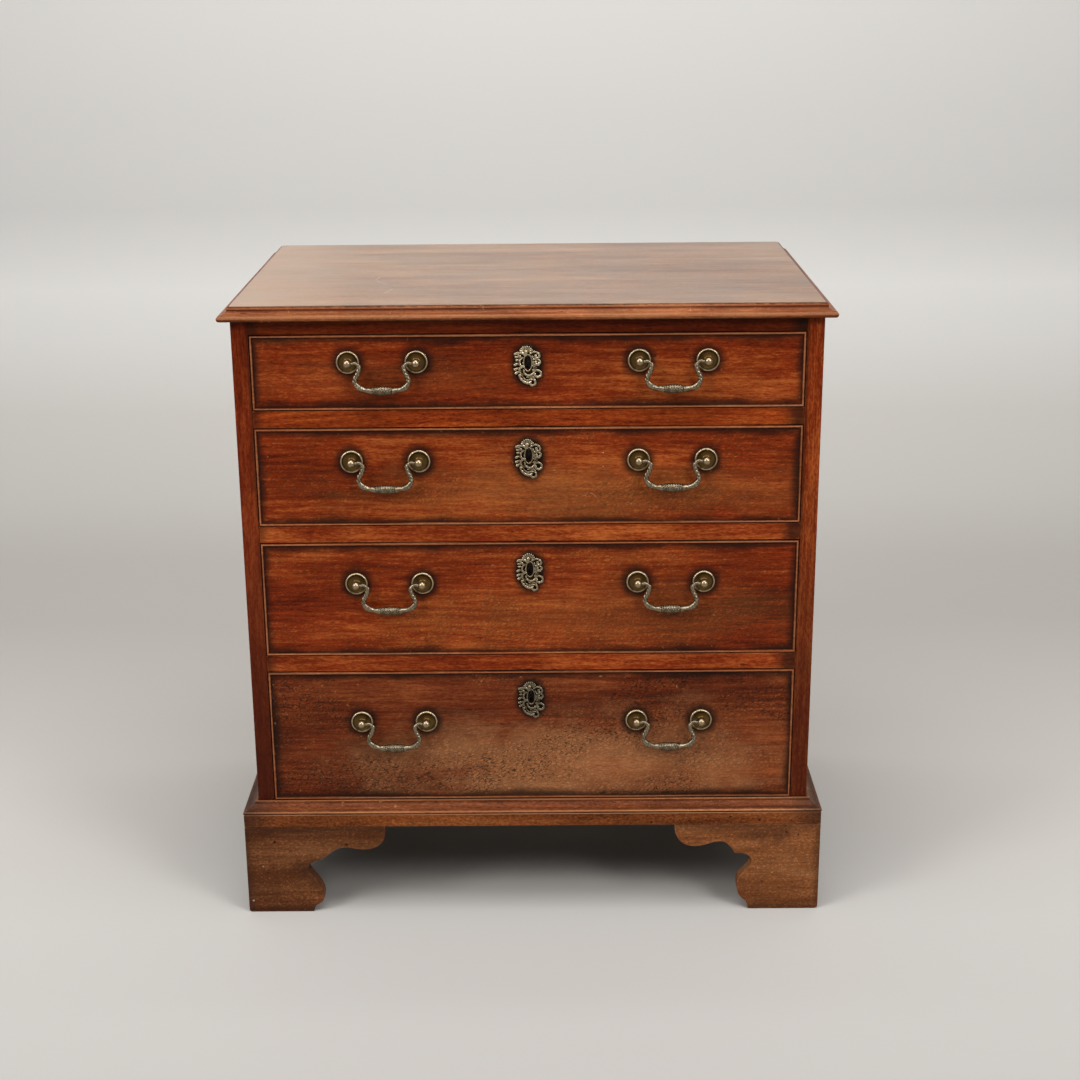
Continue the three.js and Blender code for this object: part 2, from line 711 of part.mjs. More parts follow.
// Escutcheon outline and relief, as shares of its half width and half height round its middle
const cartoucheShares = [
  [-0.46, 0.84], [-0.36, 0.95], [-0.1, 1], [0.18, 0.96], [0.38, 0.84], [0.3, 0.66],
  [0.6, 0.68], [0.88, 0.62], [0.94, 0.5], [0.82, 0.38], [1, 0.26], [0.98, 0.12], [0.76, 0.02],
  [0.8, -0.16], [0.96, -0.38], [0.88, -0.55], [0.64, -0.6], [0.57, -0.78], [0.5, -0.92], [0.32, -1],
  [0.05, -0.98], [-0.22, -0.9], [-0.44, -0.75], [-0.56, -0.56], [-0.84, -0.5], [-0.97, -0.37],
  [-0.84, -0.3], [-1, -0.2], [-0.86, -0.1], [-1, 0.02], [-0.84, 0.12], [-0.94, 0.4],
  [-0.84, 0.48], [-0.98, 0.62], [-0.62, 0.68],
];
// Piercings: [x, z, half width, half height]
const piercingShares = [[-0.44, 0.2, 0.09, 0.13], [-0.13, -0.6, 0.11, 0.06], [0.34, -0.84, 0.1, 0.06]];
// Scrolls: [x, z, radius as a share of the half width, start and sweep in degrees, thickness share]
const scrollShares = [
  [-0.4, 0.14, 0.4, 70, 200, 1], [0.6, 0.46, 0.28, 160, -230, 1], [0.66, 0.12, 0.28, 60, -160, 0.9],
  [0.06, -0.36, 0.72, 190, 92, 1.25], [0.55, -0.4, 0.36, 80, -210, 0.9],
];
const scrollTaperShare = 0.3;
const fanShares = [-0.36, 0.02, 0.4];
const fanRootShare = 0.62;
const fanTipShare = 0.9;
const scrollSteps = 4;
const scrollSides = 5;
const piercingSides = 6;

// A tapering rod bent round an arc, lying half sunk in the plate
const scroll = (halfWidth, halfHeight, [x, z, radius, from, sweep, thick]) => {
  const rings = arc(0, 0, 1, 1, from, from + sweep, scrollSteps).map(([c, s], i) => {
    const size = 1 - scrollTaperShare * i / scrollSteps;
    const reach = radius * halfWidth * size;
    const rod = escutcheonScrollRadius * thick * size;
    const outward = new THREE.Vector3(c, 0, s);
    const middle = new THREE.Vector3(x * halfWidth, -escutcheonThickness, z * halfHeight)
      .addScaledVector(outward, reach);
    return Array.from({ length: scrollSides }, (_, j) => {
      const a = Math.PI * (2 * j + 1) / scrollSides;
      return middle.clone()
        .addScaledVector(outward, rod * Math.cos(a))
        .add(new THREE.Vector3(0, rod * Math.sin(a), 0));
    });
  });
  if (sweep > 0) rings.forEach((ring) => ring.reverse());
  return loft(rings, fanCap(scrollSides));
};

// A rib of the shell at the head, from its root out to its tip
const fanRib = (halfWidth, halfHeight, lean) => {
  const root = fanRootShare * halfHeight;
  const length = fanTipShare * halfHeight - root;
  return new THREE.ConeGeometry(escutcheonScrollRadius, length, scrollSides)
    .rotateX(-Math.PI / 2)
    .translate(0, -escutcheonThickness, root + length / 2)
    .rotateY(lean * halfWidth / halfHeight);
};

const escutcheon = () => {
  const halfWidth = escutcheonWidth / 2;
  const halfHeight = escutcheonHeight / 2;
  const plate = cartoucheShares.map(([x, z]) => [x * halfWidth, z * halfHeight]);
  const rim = keyholeOutline(escutcheonRimWidth).map(([x, z]) => [x, z + escutcheonDrop]);
  const body = join(
    slabXZ(shapeOf(plate), -escutcheonThickness, -seatGap),
    slabXZ(shapeOf(rim), -escutcheonRimHeight, -seatGap),
    ...scrollShares.map((row) => scroll(halfWidth, halfHeight, row)),
    ...fanShares.map((lean) => fanRib(halfWidth, halfHeight, lean)),
  );
  const holes = piercingShares.map(([x, z, w, h]) =>
    new THREE.CylinderGeometry(1, 1, escutcheonHeight, piercingSides)
      .scale(w * halfWidth, 1, h * halfHeight)
      .translate(x * halfWidth, 0, z * halfHeight));
  const keyhole = slabXZ(shapeOf(keyholeOutline(0)), -escutcheonHeight, cutOverrun)
    .translate(0, 0, escutcheonDrop);
  const backing = block(
    -escutcheonWidth, escutcheonWidth, -seatGap, escutcheonHeight, -escutcheonHeight, escutcheonHeight,
  );
  return cut(body, keyhole, backing, ...holes);
};

// Drawers, the top one first, each a group that stands at the foot of its opening
openingHeights.forEach((height, i) => {
  const drawer = new THREE.Group();
  drawer.position.set(0, caseFront, openingFloors[i]);
  chest.add(drawer);
  const name = `drawer_${i + 1}`;
  const frontFoot = drawerGap;
  const frontTop = height - drawerGap;
  const sideTop = height - drawerSideTopGap;
  const backTop = sideTop - drawerBackDrop;
  const backFoot = bottomTop + 2 * seatGap;
  const spans = tailSpans(bottomTop + seatGap, sideTop, tailCounts[i]);
  const backSpans = tailSpans(backFoot, backTop, tailCounts[i]);
  const handleLevel = frontTop - handleDropShares[i] * (frontTop - frontFoot);
  const keyLevel = frontTop - keyholeDrop;

  place(`${name}_front`, drawerFront(frontFoot, frontTop, spans, handleLevel), mahogany, drawer);
  place(`${name}_side_left`, drawerSide(-1, sideTop, spans, backSpans), oak, drawer);
  place(`${name}_side_right`, drawerSide(1, sideTop, spans, backSpans), oak, drawer);

  const back = block(-drawerHalf, drawerHalf, rootBack, drawerLength, backFoot, backTop);
  const backSockets = [-1, 1].flatMap((side) => backSpans.map((span) =>
    socket(side, span, flareOf(span), rootBack - cutOverrun, drawerLength + cutOverrun, false)));
  place(`${name}_back`, cut(back, ...backSockets), oak, drawer);

  const bottomHalf = drawerHalf - drawerSideThickness + grooveDepth - seatGap;
  const bottomFront = drawerFrontThickness - grooveDepth;
  place(`${name}_bottom`, block(
    -bottomHalf, bottomHalf, bottomFront, drawerLength, bottomFloor, bottomTop,
  ), oak, drawer);

  place(`${name}_cock_bead`, cockBead(frontFoot, frontTop), mahoganyWorn, drawer);
  place(`${name}_lock`, lock(frontTop), iron, drawer);
  place(`${name}_lock_bolt`, lockBolt(frontTop), iron, drawer);
  place(`${name}_escutcheon`, escutcheon(), brass, drawer).position.set(0, 0, keyLevel - escutcheonDrop);
  for (const [hand, side] of [[-1, 'left'], [1, 'right']]) {
    place(`${name}_bail_${side}`, bail(), brass, drawer)
      .position.set(hand * handleOffset, -postStandoff, handleLevel);
  }
});

export default chest;
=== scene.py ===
import json
import math

import bmesh
import bpy
import numpy as np
from mathutils import Matrix, Vector


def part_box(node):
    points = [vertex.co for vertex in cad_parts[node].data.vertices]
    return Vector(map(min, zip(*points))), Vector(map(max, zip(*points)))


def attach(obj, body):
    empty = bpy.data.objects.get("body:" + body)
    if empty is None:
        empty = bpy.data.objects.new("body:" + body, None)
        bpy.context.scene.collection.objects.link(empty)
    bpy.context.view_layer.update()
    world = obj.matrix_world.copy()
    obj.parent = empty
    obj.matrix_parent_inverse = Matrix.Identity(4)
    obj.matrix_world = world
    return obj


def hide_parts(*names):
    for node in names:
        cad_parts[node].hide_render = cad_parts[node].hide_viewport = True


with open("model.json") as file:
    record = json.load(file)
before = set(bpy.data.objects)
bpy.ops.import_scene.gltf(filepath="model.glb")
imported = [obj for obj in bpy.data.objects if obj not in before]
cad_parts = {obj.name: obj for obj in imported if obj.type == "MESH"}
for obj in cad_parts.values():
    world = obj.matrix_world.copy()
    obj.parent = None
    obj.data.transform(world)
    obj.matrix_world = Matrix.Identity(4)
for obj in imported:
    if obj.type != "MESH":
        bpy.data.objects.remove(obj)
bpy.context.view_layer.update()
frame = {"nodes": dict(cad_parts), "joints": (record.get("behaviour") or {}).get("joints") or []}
nodes = frame["nodes"]

MM = 0.001

# Camera, solved from the chest's corners in the photograph
PHOTO_SIZE = 1080
FOCAL_PIXELS = 1824.4
SENSOR = 36.0
CAMERA_PLACE = Vector((0.0227, -2.5128, 1.2615))
CAMERA_YAW = math.radians(-0.23)
CAMERA_PITCH = math.radians(17.79)
CAMERA_ROLL = math.radians(-0.49)

# Stage: the floor runs back into a wide sweep and a wall. Its tones are painted light and shade; each tone
# is y + z, brightness and warmth.
FLOOR_FRONT = -6.0
SWEEP_START = 1.5
SWEEP_RADIUS = 2.2
WALL_TOP = 7.0
STAGE_HALF_WIDTH = 8.0
SWEEP_STEPS = 32
PAPER_TINT = (0.62, 0.603, 0.575)
PAPER_LIGHT_AND_SHADE_TONES = [(-0.7, 0.74, 0.1), (-0.3, 0.82, 0.1), (0.2, 0.85, 0.2), (0.9, 0.725, 0.25),
               (1.3, 0.76, 0.2), (1.75, 0.875, 0.15), (2.3, 0.965, 0.15), (2.75, 1.145, 0.0),
               (3.05, 1.25, 0.0), (3.5, 1.08, 0.0), (4.0, 1.19, 0.0), (4.6, 1.37, 0.0)]

# Soft lamps: place, aim, width and height, and power
LAMPS = {
    "overhead": ((0.0, -0.9, 3.4), (0.0, 0.0, 0.4), (2.6, 1.6), 60),
    "backdrop": ((0.0, 0.6, 3.6), (0.0, 3.7, 1.4), (3.0, 0.8), 34),
    "key_left": ((-2.3, -1.9, 2.3), (0.0, 0.0, 0.4), (1.1, 1.1), 45),
    "key_right": ((2.1, -2.3, 2.4), (0.0, 0.0, 0.4), (1.1, 1.1), 45),
}

# Light from above: the room's glow grows from the horizon up. Seen straight or in gloss, the room is
# as pale as the paper all round.
SKY_TINT = (0.95, 0.97, 1.0)
SKY_RISE = (0.32, 0.9, 0.0, 0.72)
ROOM_TINT = (1.0, 0.975, 0.935)
ROOM_SEEN = 0.6
RAYS_THAT_SEE = ("Camera", "Glossy", "Transmission")

# Chest sizes, read from the frame, and the sizes of the brasses and the front boards
CASE_LOW, CASE_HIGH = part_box("side_left")[0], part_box("side_right")[1]
CASE_FRONT = CASE_LOW.y
DRAWERS = (1, 2, 3, 4)
PIVOTS = {joint["child"]: Vector(joint["pos_m"]) for joint in frame["joints"] if joint["type"] == "hinge"}
HANDLE_X = PIVOTS["drawer_1_bail_right"].x
HANDLE_SPACING = 87 * MM
ROSE_RADIUS = 15 * MM
FRONT_THICKNESS = 20 * MM

# Limits in making meshes: points that count as one, slack round a board's faces, and edges that count
# as flat or sharp
WELD = 0.01 * MM
BOARD_SLACK = 0.05 * MM
FLAT = math.radians(0.5)
SHARP = math.radians(35)


class Value:
    """One output of a shader node. Sums and products with it make more nodes."""

    def __init__(self, graph, socket):
        self.graph = graph
        self.socket = socket

    def __add__(self, other):
        return self.graph.math("ADD", self, other)

    def __radd__(self, other):
        return self.graph.math("ADD", other, self)

    def __sub__(self, other):
        return self.graph.math("SUBTRACT", self, other)

    def __rsub__(self, other):
        return self.graph.math("SUBTRACT", other, self)

    def __mul__(self, other):
        return self.graph.math("MULTIPLY", self, other)

    def __abs__(self):
        return self.graph.math("ABSOLUTE", self)


class Graph:
    """Builds a material or a world. Any input may be a number, a colour or a Value."""

    def __init__(self, owner):
        self.owner = owner
        owner.use_nodes = True
        self.nodes = owner.node_tree.nodes
        self.links = owner.node_tree.links
        self.nodes.clear()

    def feed(self, socket, value):
        if isinstance(value, Value):
            self.links.new(value.socket, socket)
        elif socket.type == "RGBA" and len(value) == 3:
            socket.default_value = (*value, 1.0)
        else:
            socket.default_value = value

    def add(self, kind, inputs, output=0, **settings):
        """Makes a node and gives one of its outputs."""
        node = self.nodes.new(kind)
        for key, value in settings.items():
            setattr(node, key, value)
        for key, value in inputs.items():
            self.feed(node.inputs[key], value)
        return Value(self, node.outputs[output]) if node.outputs else None

    def math(self, operation, a, b=0.0):
        return self.add("ShaderNodeMath", {0: a, 1: b}, operation=operation)

    def least(self, a, b):
        return self.math("MINIMUM", a, b)

    def most(self, a, b):
        return self.math("MAXIMUM", a, b)

    def length(self, x, y):
        return self.math("SQRT", x * x + y * y)

    def smooth(self, value, low, high, out_low=0.0, out_high=1.0):
        inputs = {"Value": value, "From Min": low, "From Max": high, "To Min": out_low, "To Max": out_high}
        return self.add("ShaderNodeMapRange", inputs, interpolation_type="SMOOTHSTEP")

    def parts(self, vector):
        node = self.nodes.new("ShaderNodeSeparateXYZ")
        self.feed(node.inputs[0], vector)
        return [Value(self, socket) for socket in node.outputs]

    def place(self):
        """The point on the piece at rest, as three values."""
        return self.parts(self.add("ShaderNodeTexCoord", {}, "Object"))

    def vector(self, x, y, z):
        return self.add("ShaderNodeCombineXYZ", {0: x, 1: y, 2: z})

    def noise(self, vector, scale=1.0, detail=2.0, roughness=0.5):
        inputs = {"Vector": vector, "Scale": scale, "Detail": detail, "Roughness": roughness}
        return self.add("ShaderNodeTexNoise", inputs, "Fac")

    def openness(self, reach, samples, inside=False):
        """How open the surface is within reach: hollows are low, or edges where it looks inside."""
        return self.add("ShaderNodeAmbientOcclusion", {"Distance": reach}, "AO", only_local=True,
                        inside=inside, samples=samples)

    def blend(self, share, a, b, kind="MIX"):
        return self.add("ShaderNodeMix", {"Factor": share, 6: a, 7: b}, 2, data_type="RGBA", blend_type=kind)

    def ramp(self, value, stops):
        colours = self.add("ShaderNodeValToRGB", {0: value})
        ends = colours.socket.node.color_ramp.elements
        while len(ends) < len(stops):
            ends.new(0.5)
        for end, (position, colour) in zip(ends, stops):
            end.position = position
            end.color = (*colour, 1.0)
        return colours

    def surface(self, colour, roughness, height=None, bump=(0.0, 0.0), **constants):
        """The finished material: constants go to the shader's own sockets by name."""
        shader = self.add("ShaderNodeBsdfPrincipled", {"Base Color": colour, "Roughness": roughness})
        sockets = shader.socket.node.inputs
        for key, value in constants.items():
            sockets[key.replace("_", " ")].default_value = value
        if height is not None:
            strength, distance = bump
            inputs = {"Height": height, "Strength": strength, "Distance": distance}
            self.feed(sockets["Normal"], self.add("ShaderNodeBump", inputs))
        self.add("ShaderNodeOutputMaterial", {0: shader})
        return self.owner


def new_material(name):
    return Graph(bpy.data.materials.new(name))


# Woods, each as its deep, middle and pale colour
MAHOGANY = ((0.065, 0.0062, 0.0013), (0.225, 0.029, 0.0047), (0.47, 0.118, 0.024))
# Darker mahogany for the top rail: painted shade, standing in for the shadow cast by the top moulding's
# overhang
TOP_RAIL_SHADE_MAHOGANY = ((0.040, 0.0040, 0.0009), (0.120, 0.0155, 0.0026), (0.20, 0.040, 0.008))
FADED_MAHOGANY = ((0.11, 0.043, 0.018), (0.225, 0.108, 0.054), (0.34, 0.195, 0.108))
# Darker, browner mahogany for the lowest drawer: partly the drawer's own tone, partly painted shade where
# the light falls off towards the bottom of the chest
LOW_DRAWER_TONE_AND_SHADE_MAHOGANY = ((0.044, 0.0065, 0.0018), (0.152, 0.028, 0.0072), (0.31, 0.084, 0.024))
STILE_MAHOGANY = ((0.048, 0.0055, 0.0013), (0.165, 0.020, 0.0038), (0.29, 0.060, 0.014))
RAIL_MAHOGANY = ((0.095, 0.0095, 0.0018), (0.290, 0.045, 0.0066), (0.50, 0.140, 0.026))
WORN_MAHOGANY = ((0.085, 0.017, 0.004), (0.205, 0.052, 0.015), (0.38, 0.14, 0.055))
BASE_MAHOGANY = ((0.085, 0.020, 0.006), (0.225, 0.064, 0.022), (0.42, 0.165, 0.066))
PLINTH_MAHOGANY = ((0.058, 0.013, 0.003), (0.210, 0.055, 0.013), (0.42, 0.155, 0.048))
LEFT_FOOT_MAHOGANY = ((0.040, 0.010, 0.003), (0.135, 0.040, 0.012), (0.30, 0.125, 0.048))
FOOT_MAHOGANY = ((0.085, 0.024, 0.007), (0.265, 0.086, 0.026), (0.52, 0.23, 0.095))
OAK = ((0.14, 0.070, 0.028), (0.33, 0.185, 0.085), (0.48, 0.305, 0.155))
PINE = ((0.17, 0.088, 0.038), (0.34, 0.195, 0.092), (0.47, 0.305, 0.160))
# Pine for the chest's underside, darkened partly by age and dirt, partly as painted shade under the chest
AGED_AND_SHADE_PINE = ((0.030, 0.017, 0.009), (0.070, 0.042, 0.022), (0.13, 0.085, 0.05))

# Wear and dirt on them; the bead's pale crown is also painted highlight, and the grime black also paints
# shade in the gap round the bead
BEAD_WEAR_AND_HIGHLIGHT = (0.46, 0.20, 0.10)
GOLDEN = (0.38, 0.145, 0.038)
RUBBED = (0.53, 0.225, 0.090)
GRIME_AND_GAP_SHADE = (0.010, 0.0055, 0.0035)
DARK_DENT = (0.02, 0.012, 0.008)
PALE_DENT = (0.5, 0.3, 0.2)
SCUFF = (0.45, 0.30, 0.2)
EDGE_WEAR_REACH = 2.2 * MM

# Axes along, across and through a board, by its length. Lines lie across one axis, and scratches in a
# plane of two.
AXES = {"X": (0, 2, 1), "Y": (1, 2, 0), "Z": (2, 0, 1)}
OUTWARDS, UPWARDS = 1, 2
FRONT_PLANE, TOP_PLANE = (0, 2), (0, 1)

# Grain: how far apart two seeds lie, how far the pattern sways, and how strong and deep its bumps are
SEED_STEP = 1.37
SWAY = 22 * MM
WOOD_BUMP = (0.25, 0.25 * MM)
DRY_BUMP = (0.35, 0.3 * MM)
BRASS_BUMP = (0.15, 0.2 * MM)
IRON_BUMP = (0.3, 0.2 * MM)
IRON_TINTS = [(0.35, (0.10, 0.085, 0.075)), (0.6, (0.16, 0.14, 0.125)), (0.75, (0.13, 0.07, 0.04))]

# Cracks in old polish: how many a metre across and up, and how far they wander
CRACKS_ACROSS = 150.0
CRACKS_UP = 300.0
CRACK_BEND = 14 * MM

# Dirt on the drawer fronts: how it wanders, and between which distances it fades
DIRT_DEPTH = (2 * MM, 5 * MM)
FRONT_WANDER = 22 * MM
RIM_DIRT = (3 * MM, 16 * MM)
CORNER_WIDTH = 30 * MM
CORNER_HEIGHT = 24 * MM
CORNER_DIRT = (16 * MM, 40 * MM)
ROSE_DIRT = 12 * MM
PLATE_DIRT = (15 * MM, 28 * MM)


class Grain:
    """The pattern of a board: soft figure, thin streaks, fine short flecks, dark marks and dull clouds."""

    def __init__(self, g, along, seed, coarse=1.0):
        spots = g.place()
        run, across, deep = (spots[i] for i in AXES[along])
        run = run + seed * SEED_STEP
        sway = g.noise(g.vector(run * 1.6, across * 4.0, deep * 4.0), detail=1.0)
        across = across + sway * SWAY

        def stretched(length, width, **settings):
            return g.noise(g.vector(run * length, across * width, deep * width), **settings)

        self.figure = stretched(2.2, 26.0, detail=5.0, roughness=0.64)
        self.streak = stretched(14.0, 190.0, detail=4.0, roughness=0.66)
        self.fleck = stretched(150.0 * coarse, 560.0 / coarse, detail=3.0, roughness=0.7)
        self.crowd = stretched(6.0, 16.0, detail=2.0)
        self.mark = g.smooth(stretched(70.0, 210.0, detail=2.0), 0.68, 0.76)
        self.mottle = g.noise(g.vector(run, across, deep), scale=11.0, detail=5.0, roughness=0.62)
        self.speck = g.noise(g.vector(run, across, deep), scale=120.0, detail=4.0, roughness=0.6)
        self.broad = stretched(2.4, 6.0, detail=2.0)
        self.coarse = coarse

    def colour(self, g, palette, contrast=1.0):
        value = self.figure * 0.46 + self.streak * (0.44 / self.coarse)
        value = value + self.fleck * (0.44 * self.coarse)
        value = value + (self.broad - 0.5) * 0.40
        middle = 0.23 + 0.22 / self.coarse + 0.22 * self.coarse
        spread = 0.17 / contrast
        stops = zip((middle - spread, middle, middle + spread), palette)
        tint = g.ramp(value, list(stops))
        shade = g.smooth(self.mottle, 0.28, 0.72, 0.80, 1.16)
        tint = g.blend(1.0, tint, g.vector(shade, shade, shade), kind="MULTIPLY")
        return g.blend(self.mark * 0.75, tint, palette[0])

    def height(self):
        return self.streak * 0.3 + self.fleck * 0.35 - self.mark * 0.9


def polished(name, palette, along, seed, roughness=0.34, contrast=1.0, tweaks=(), edge=0.5, shine=0.07,
             coarse=1.0, **constants):
    """Mahogany under old polish. Each tweak is a function that lays dirt and wear, and on some pieces
    painted shade and painted sheen, over the colour and the gloss, and its details."""
    g = new_material(name)
    grain = Grain(g, along, seed, coarse)
    colour = grain.colour(g, palette, contrast)
    gloss = roughness + (grain.mottle - 0.5) * 0.30
    for tweak, *details in tweaks:
        colour, gloss = tweak(g, grain, colour, gloss, *details)
    if edge > 0:
        inside = g.openness(EDGE_WEAR_REACH, samples=6, inside=True)
        rubbed = g.smooth(inside + (grain.speck - 0.5) * 0.9, 0.35, 0.75, edge, 0.0)
        colour = g.blend(rubbed, colour, palette[2])
    return g.surface(colour, gloss, grain.height(), WOOD_BUMP, Specular_IOR_Level=shine, **constants)


def dry(name, palette, along, seed):
    """Unpolished drawer and back wood."""
    g = new_material(name)
    grain = Grain(g, along, seed)
    return g.surface(grain.colour(g, palette, 0.9), 0.72, grain.height(), DRY_BUMP, Specular_IOR_Level=0.25)


def lines(g, grain, colour, gloss, marks, axis, ragged):
    """Draws pale and dark lines along a moulding: level, half width, colour, strength. Most are wear and
    dirt; on the bead some are painted shade and painted highlight, and on the top moulding's nose painted
    highlight.
    """
    level = g.place()[axis] + (grain.speck - 0.5) * ragged
    for middle, half, tint, strength in marks:
        share = g.smooth(abs(level - middle), 0.35 * half, half, strength, 0.0)
        share = share * g.smooth(grain.crowd, 0.3, 0.62, 0.45, 1.0)
        colour = g.blend(share, colour, tint)
    return colour, gloss


def nicks(g, grain, colour, gloss, spots, stretch=1.0):
    """Lays small dents and knots on the front: x, z, radius and colour. stretch is how many times
    longer than high each one is."""
    x, _, z = g.place()
    wander = (grain.speck - 0.5) * 1.6
    for across, up, radius, tint in spots:
        reach = g.length((x - across) * (1.0 / stretch), z - up)
        colour = g.blend(g.smooth(reach * (1.0 / radius) + wander, 0.4, 1.0, 0.9, 0.0), colour, tint)
    return colour, gloss


def scratches(g, grain, colour, gloss, strokes, tint, half, axes):
    """Draws fine pale scratches, each a row of points."""
    here = g.place()
    broken = g.smooth(grain.speck, 0.40, 0.62, 0.1, 0.8)
    for points in strokes:
        for start, end in zip(points[:-1], points[1:]):
            run = Vector(end) - Vector(start)
            a, b = here[axes[0]] - start[0], here[axes[1]] - start[1]
            share = a * (run.x / run.length_squared) + b * (run.y / run.length_squared)
            share = g.least(g.most(share, 0.0), 1.0)
            off = g.length(a - share * run.x, b - share * run.y)
            colour = g.blend(g.smooth(off, 0.3 * half, half, 1.0, 0.0) * broken, colour, tint)
    return colour, gloss


def crackled(g, grain, colour, gloss, cracks, specks):
    """Breaks old polish with short cracks, thicker in some places, and tiny pale chips."""
    x, y, z = g.place()
    bend = (grain.speck - 0.5) * CRACK_BEND
    cell = g.vector((x + bend) * CRACKS_ACROSS, y * CRACKS_ACROSS, (z + bend) * CRACKS_UP)
    gap = g.add("ShaderNodeTexVoronoi", {"Vector": cell, "Scale": 1.0}, "Distance",
                feature="DISTANCE_TO_EDGE")
    crowd = g.smooth(grain.crowd, 0.36, 0.58, 0.2, 1.0) * g.smooth(grain.fleck, 0.42, 0.58)
    colour = g.blend(g.smooth(gap, 0.03, 0.24, cracks, 0.0) * crowd, colour, GRIME_AND_GAP_SHADE)
    return g.blend(g.smooth(grain.speck, 0.66, 0.72, 0.0, specks), colour, RUBBED), gloss


def two_woods(g, grain, colour, gloss, front_depth, palette, along, seed):
    """Keeps mahogany for a piece's front edge, with a plain wood behind it."""
    plain = Grain(g, along, seed)
    behind = g.math("GREATER_THAN", g.place()[1], front_depth)
    return g.blend(behind, colour, plain.colour(g, palette)), gloss + behind * 0.35


def key_level(number):
    low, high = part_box(f"drawer_{number}_escutcheon")
    return (low.z + high.z) / 2


def front_dirt(g, grain, colour, gloss, number, pale):
    """Blackens the polish round a drawer face's edges and brasses, and rubs it pale at one spot."""
    low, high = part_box(f"drawer_{number}_cock_bead")
    handle = PIVOTS[f"drawer_{number}_bail_left"].z
    across, up, wide, tall, strength, tint = pale
    x, y, z = g.place()
    face = g.smooth(y, *(CASE_FRONT + depth for depth in DIRT_DEPTH), 1.0, 0.0)
    wander = (grain.mottle - 0.5) * FRONT_WANDER
    side = high.x - abs(x)
    rise = g.least(high.z - z, z - low.z)
    corner = g.length(g.most(CORNER_WIDTH - side, 0.0), g.most(CORNER_HEIGHT - rise, 0.0))
    rim_dirt = g.smooth(g.least(side, rise) + wander, *RIM_DIRT, 0.86, 0.0)
    corner_dirt = g.smooth(corner - wander, *CORNER_DIRT, 0.0, 0.85)
    post = abs(abs(abs(x) - HANDLE_X) - HANDLE_SPACING / 2)
    rose = g.length(post, z - handle) + wander * 0.4
    rose_dirt = g.smooth(rose, ROSE_RADIUS, ROSE_RADIUS + ROSE_DIRT, 0.8, 0.0)
    plate = g.length(x, (z - key_level(number)) * 0.72) + wander * 0.4
    plate_dirt = g.smooth(plate, *PLATE_DIRT, 1.0, 0.0)
    dirt = face * g.most(g.most(rim_dirt, corner_dirt), g.most(rose_dirt, plate_dirt))
    reach = g.length((x - across) * (1.0 / wide), (z - up) * (1.0 / tall))
    ragged = reach + (grain.mottle - 0.5) * 1.6 + (grain.figure - 0.5) * 1.4
    rubbed = g.smooth(ragged, 0.2, 1.25, strength, 0.0) * g.smooth(grain.fleck, 0.34, 0.64, 0.45, 1.0)
    colour = g.blend(dirt, g.blend(rubbed, colour, tint), GRIME_AND_GAP_SHADE)
    return colour, gloss + (rubbed * 0.2 + dirt * 0.12)


def brass_finish(name, dark, middle, bright, hollow_reach=1.6 * MM, lift=None, rim=None, dull=0.0,
                 rubbed=0.55):
    """Tarnished cast brass, bright where hands have rubbed it and dark in its hollows. lift names the
    heights in front of the wood between which a flat casting turns from dark ground to bright crest, and
    rim the radii between which a round one does. rubbed is the share of wear at the middle colour."""
    g = new_material(name)
    x, y, z = g.place()
    blotch = g.noise(g.vector(x, y, z), scale=190.0, detail=4.0, roughness=0.6)
    worn = g.smooth(g.openness(hollow_reach, samples=8) + (blotch - 0.5) * 0.5, 0.45, 1.05)
    if lift:
        worn = worn * g.smooth(0.0 - y, *lift, 0.15, 1.0)
    if rim:
        ball = g.smooth(0.0 - y, 0.4 * rim[0], 0.6 * rim[0], 0.0, 0.88)
        worn = worn * g.most(ball, g.smooth(g.length(x, z), *rim, rubbed, 1.0))
    tint = g.ramp(worn, [(0.0, dark), (rubbed, middle), (1.0, bright)])
    rough = g.smooth(worn, 0.0, 1.0, 0.5 + dull, 0.25 + dull)
    return g.surface(tint, rough, blotch, BRASS_BUMP, Metallic=1.0)


def iron_finish(name):
    g = new_material(name)
    rust = g.noise(g.vector(*g.place()), scale=90.0, detail=5.0, roughness=0.65)
    tint = g.ramp(rust, IRON_TINTS)
    return g.surface(tint, g.smooth(rust, 0.3, 0.8, 0.42, 0.7), rust, IRON_BUMP, Metallic=0.85)


# Stage, light and camera
def new_object(name, data):
    item = bpy.data.objects.new(name, data)
    bpy.context.scene.collection.objects.link(item)
    return item


def stage_finish():
    """Pale paper whose tone changes with y + z as painted light and shade: a painted dim band of shade where
    the floor turns up into the wall.
    """
    g = new_material("seamless_paper")
    _, y, z = g.place()
    low, high = PAPER_LIGHT_AND_SHADE_TONES[0][0], PAPER_LIGHT_AND_SHADE_TONES[-1][0]
    share = g.add("ShaderNodeMapRange", {"Value": y + z, "From Min": low, "From Max": high})
    red, green, blue = PAPER_TINT
    stops = [((run - low) / (high - low),
              (red * tone, green * tone * (1 - 0.15 * warmth), blue * tone * (1 - 0.3 * warmth)))
             for run, tone, warmth in PAPER_LIGHT_AND_SHADE_TONES]
    return g.surface(g.ramp(share, stops), 0.8, Specular_IOR_Level=0.1)


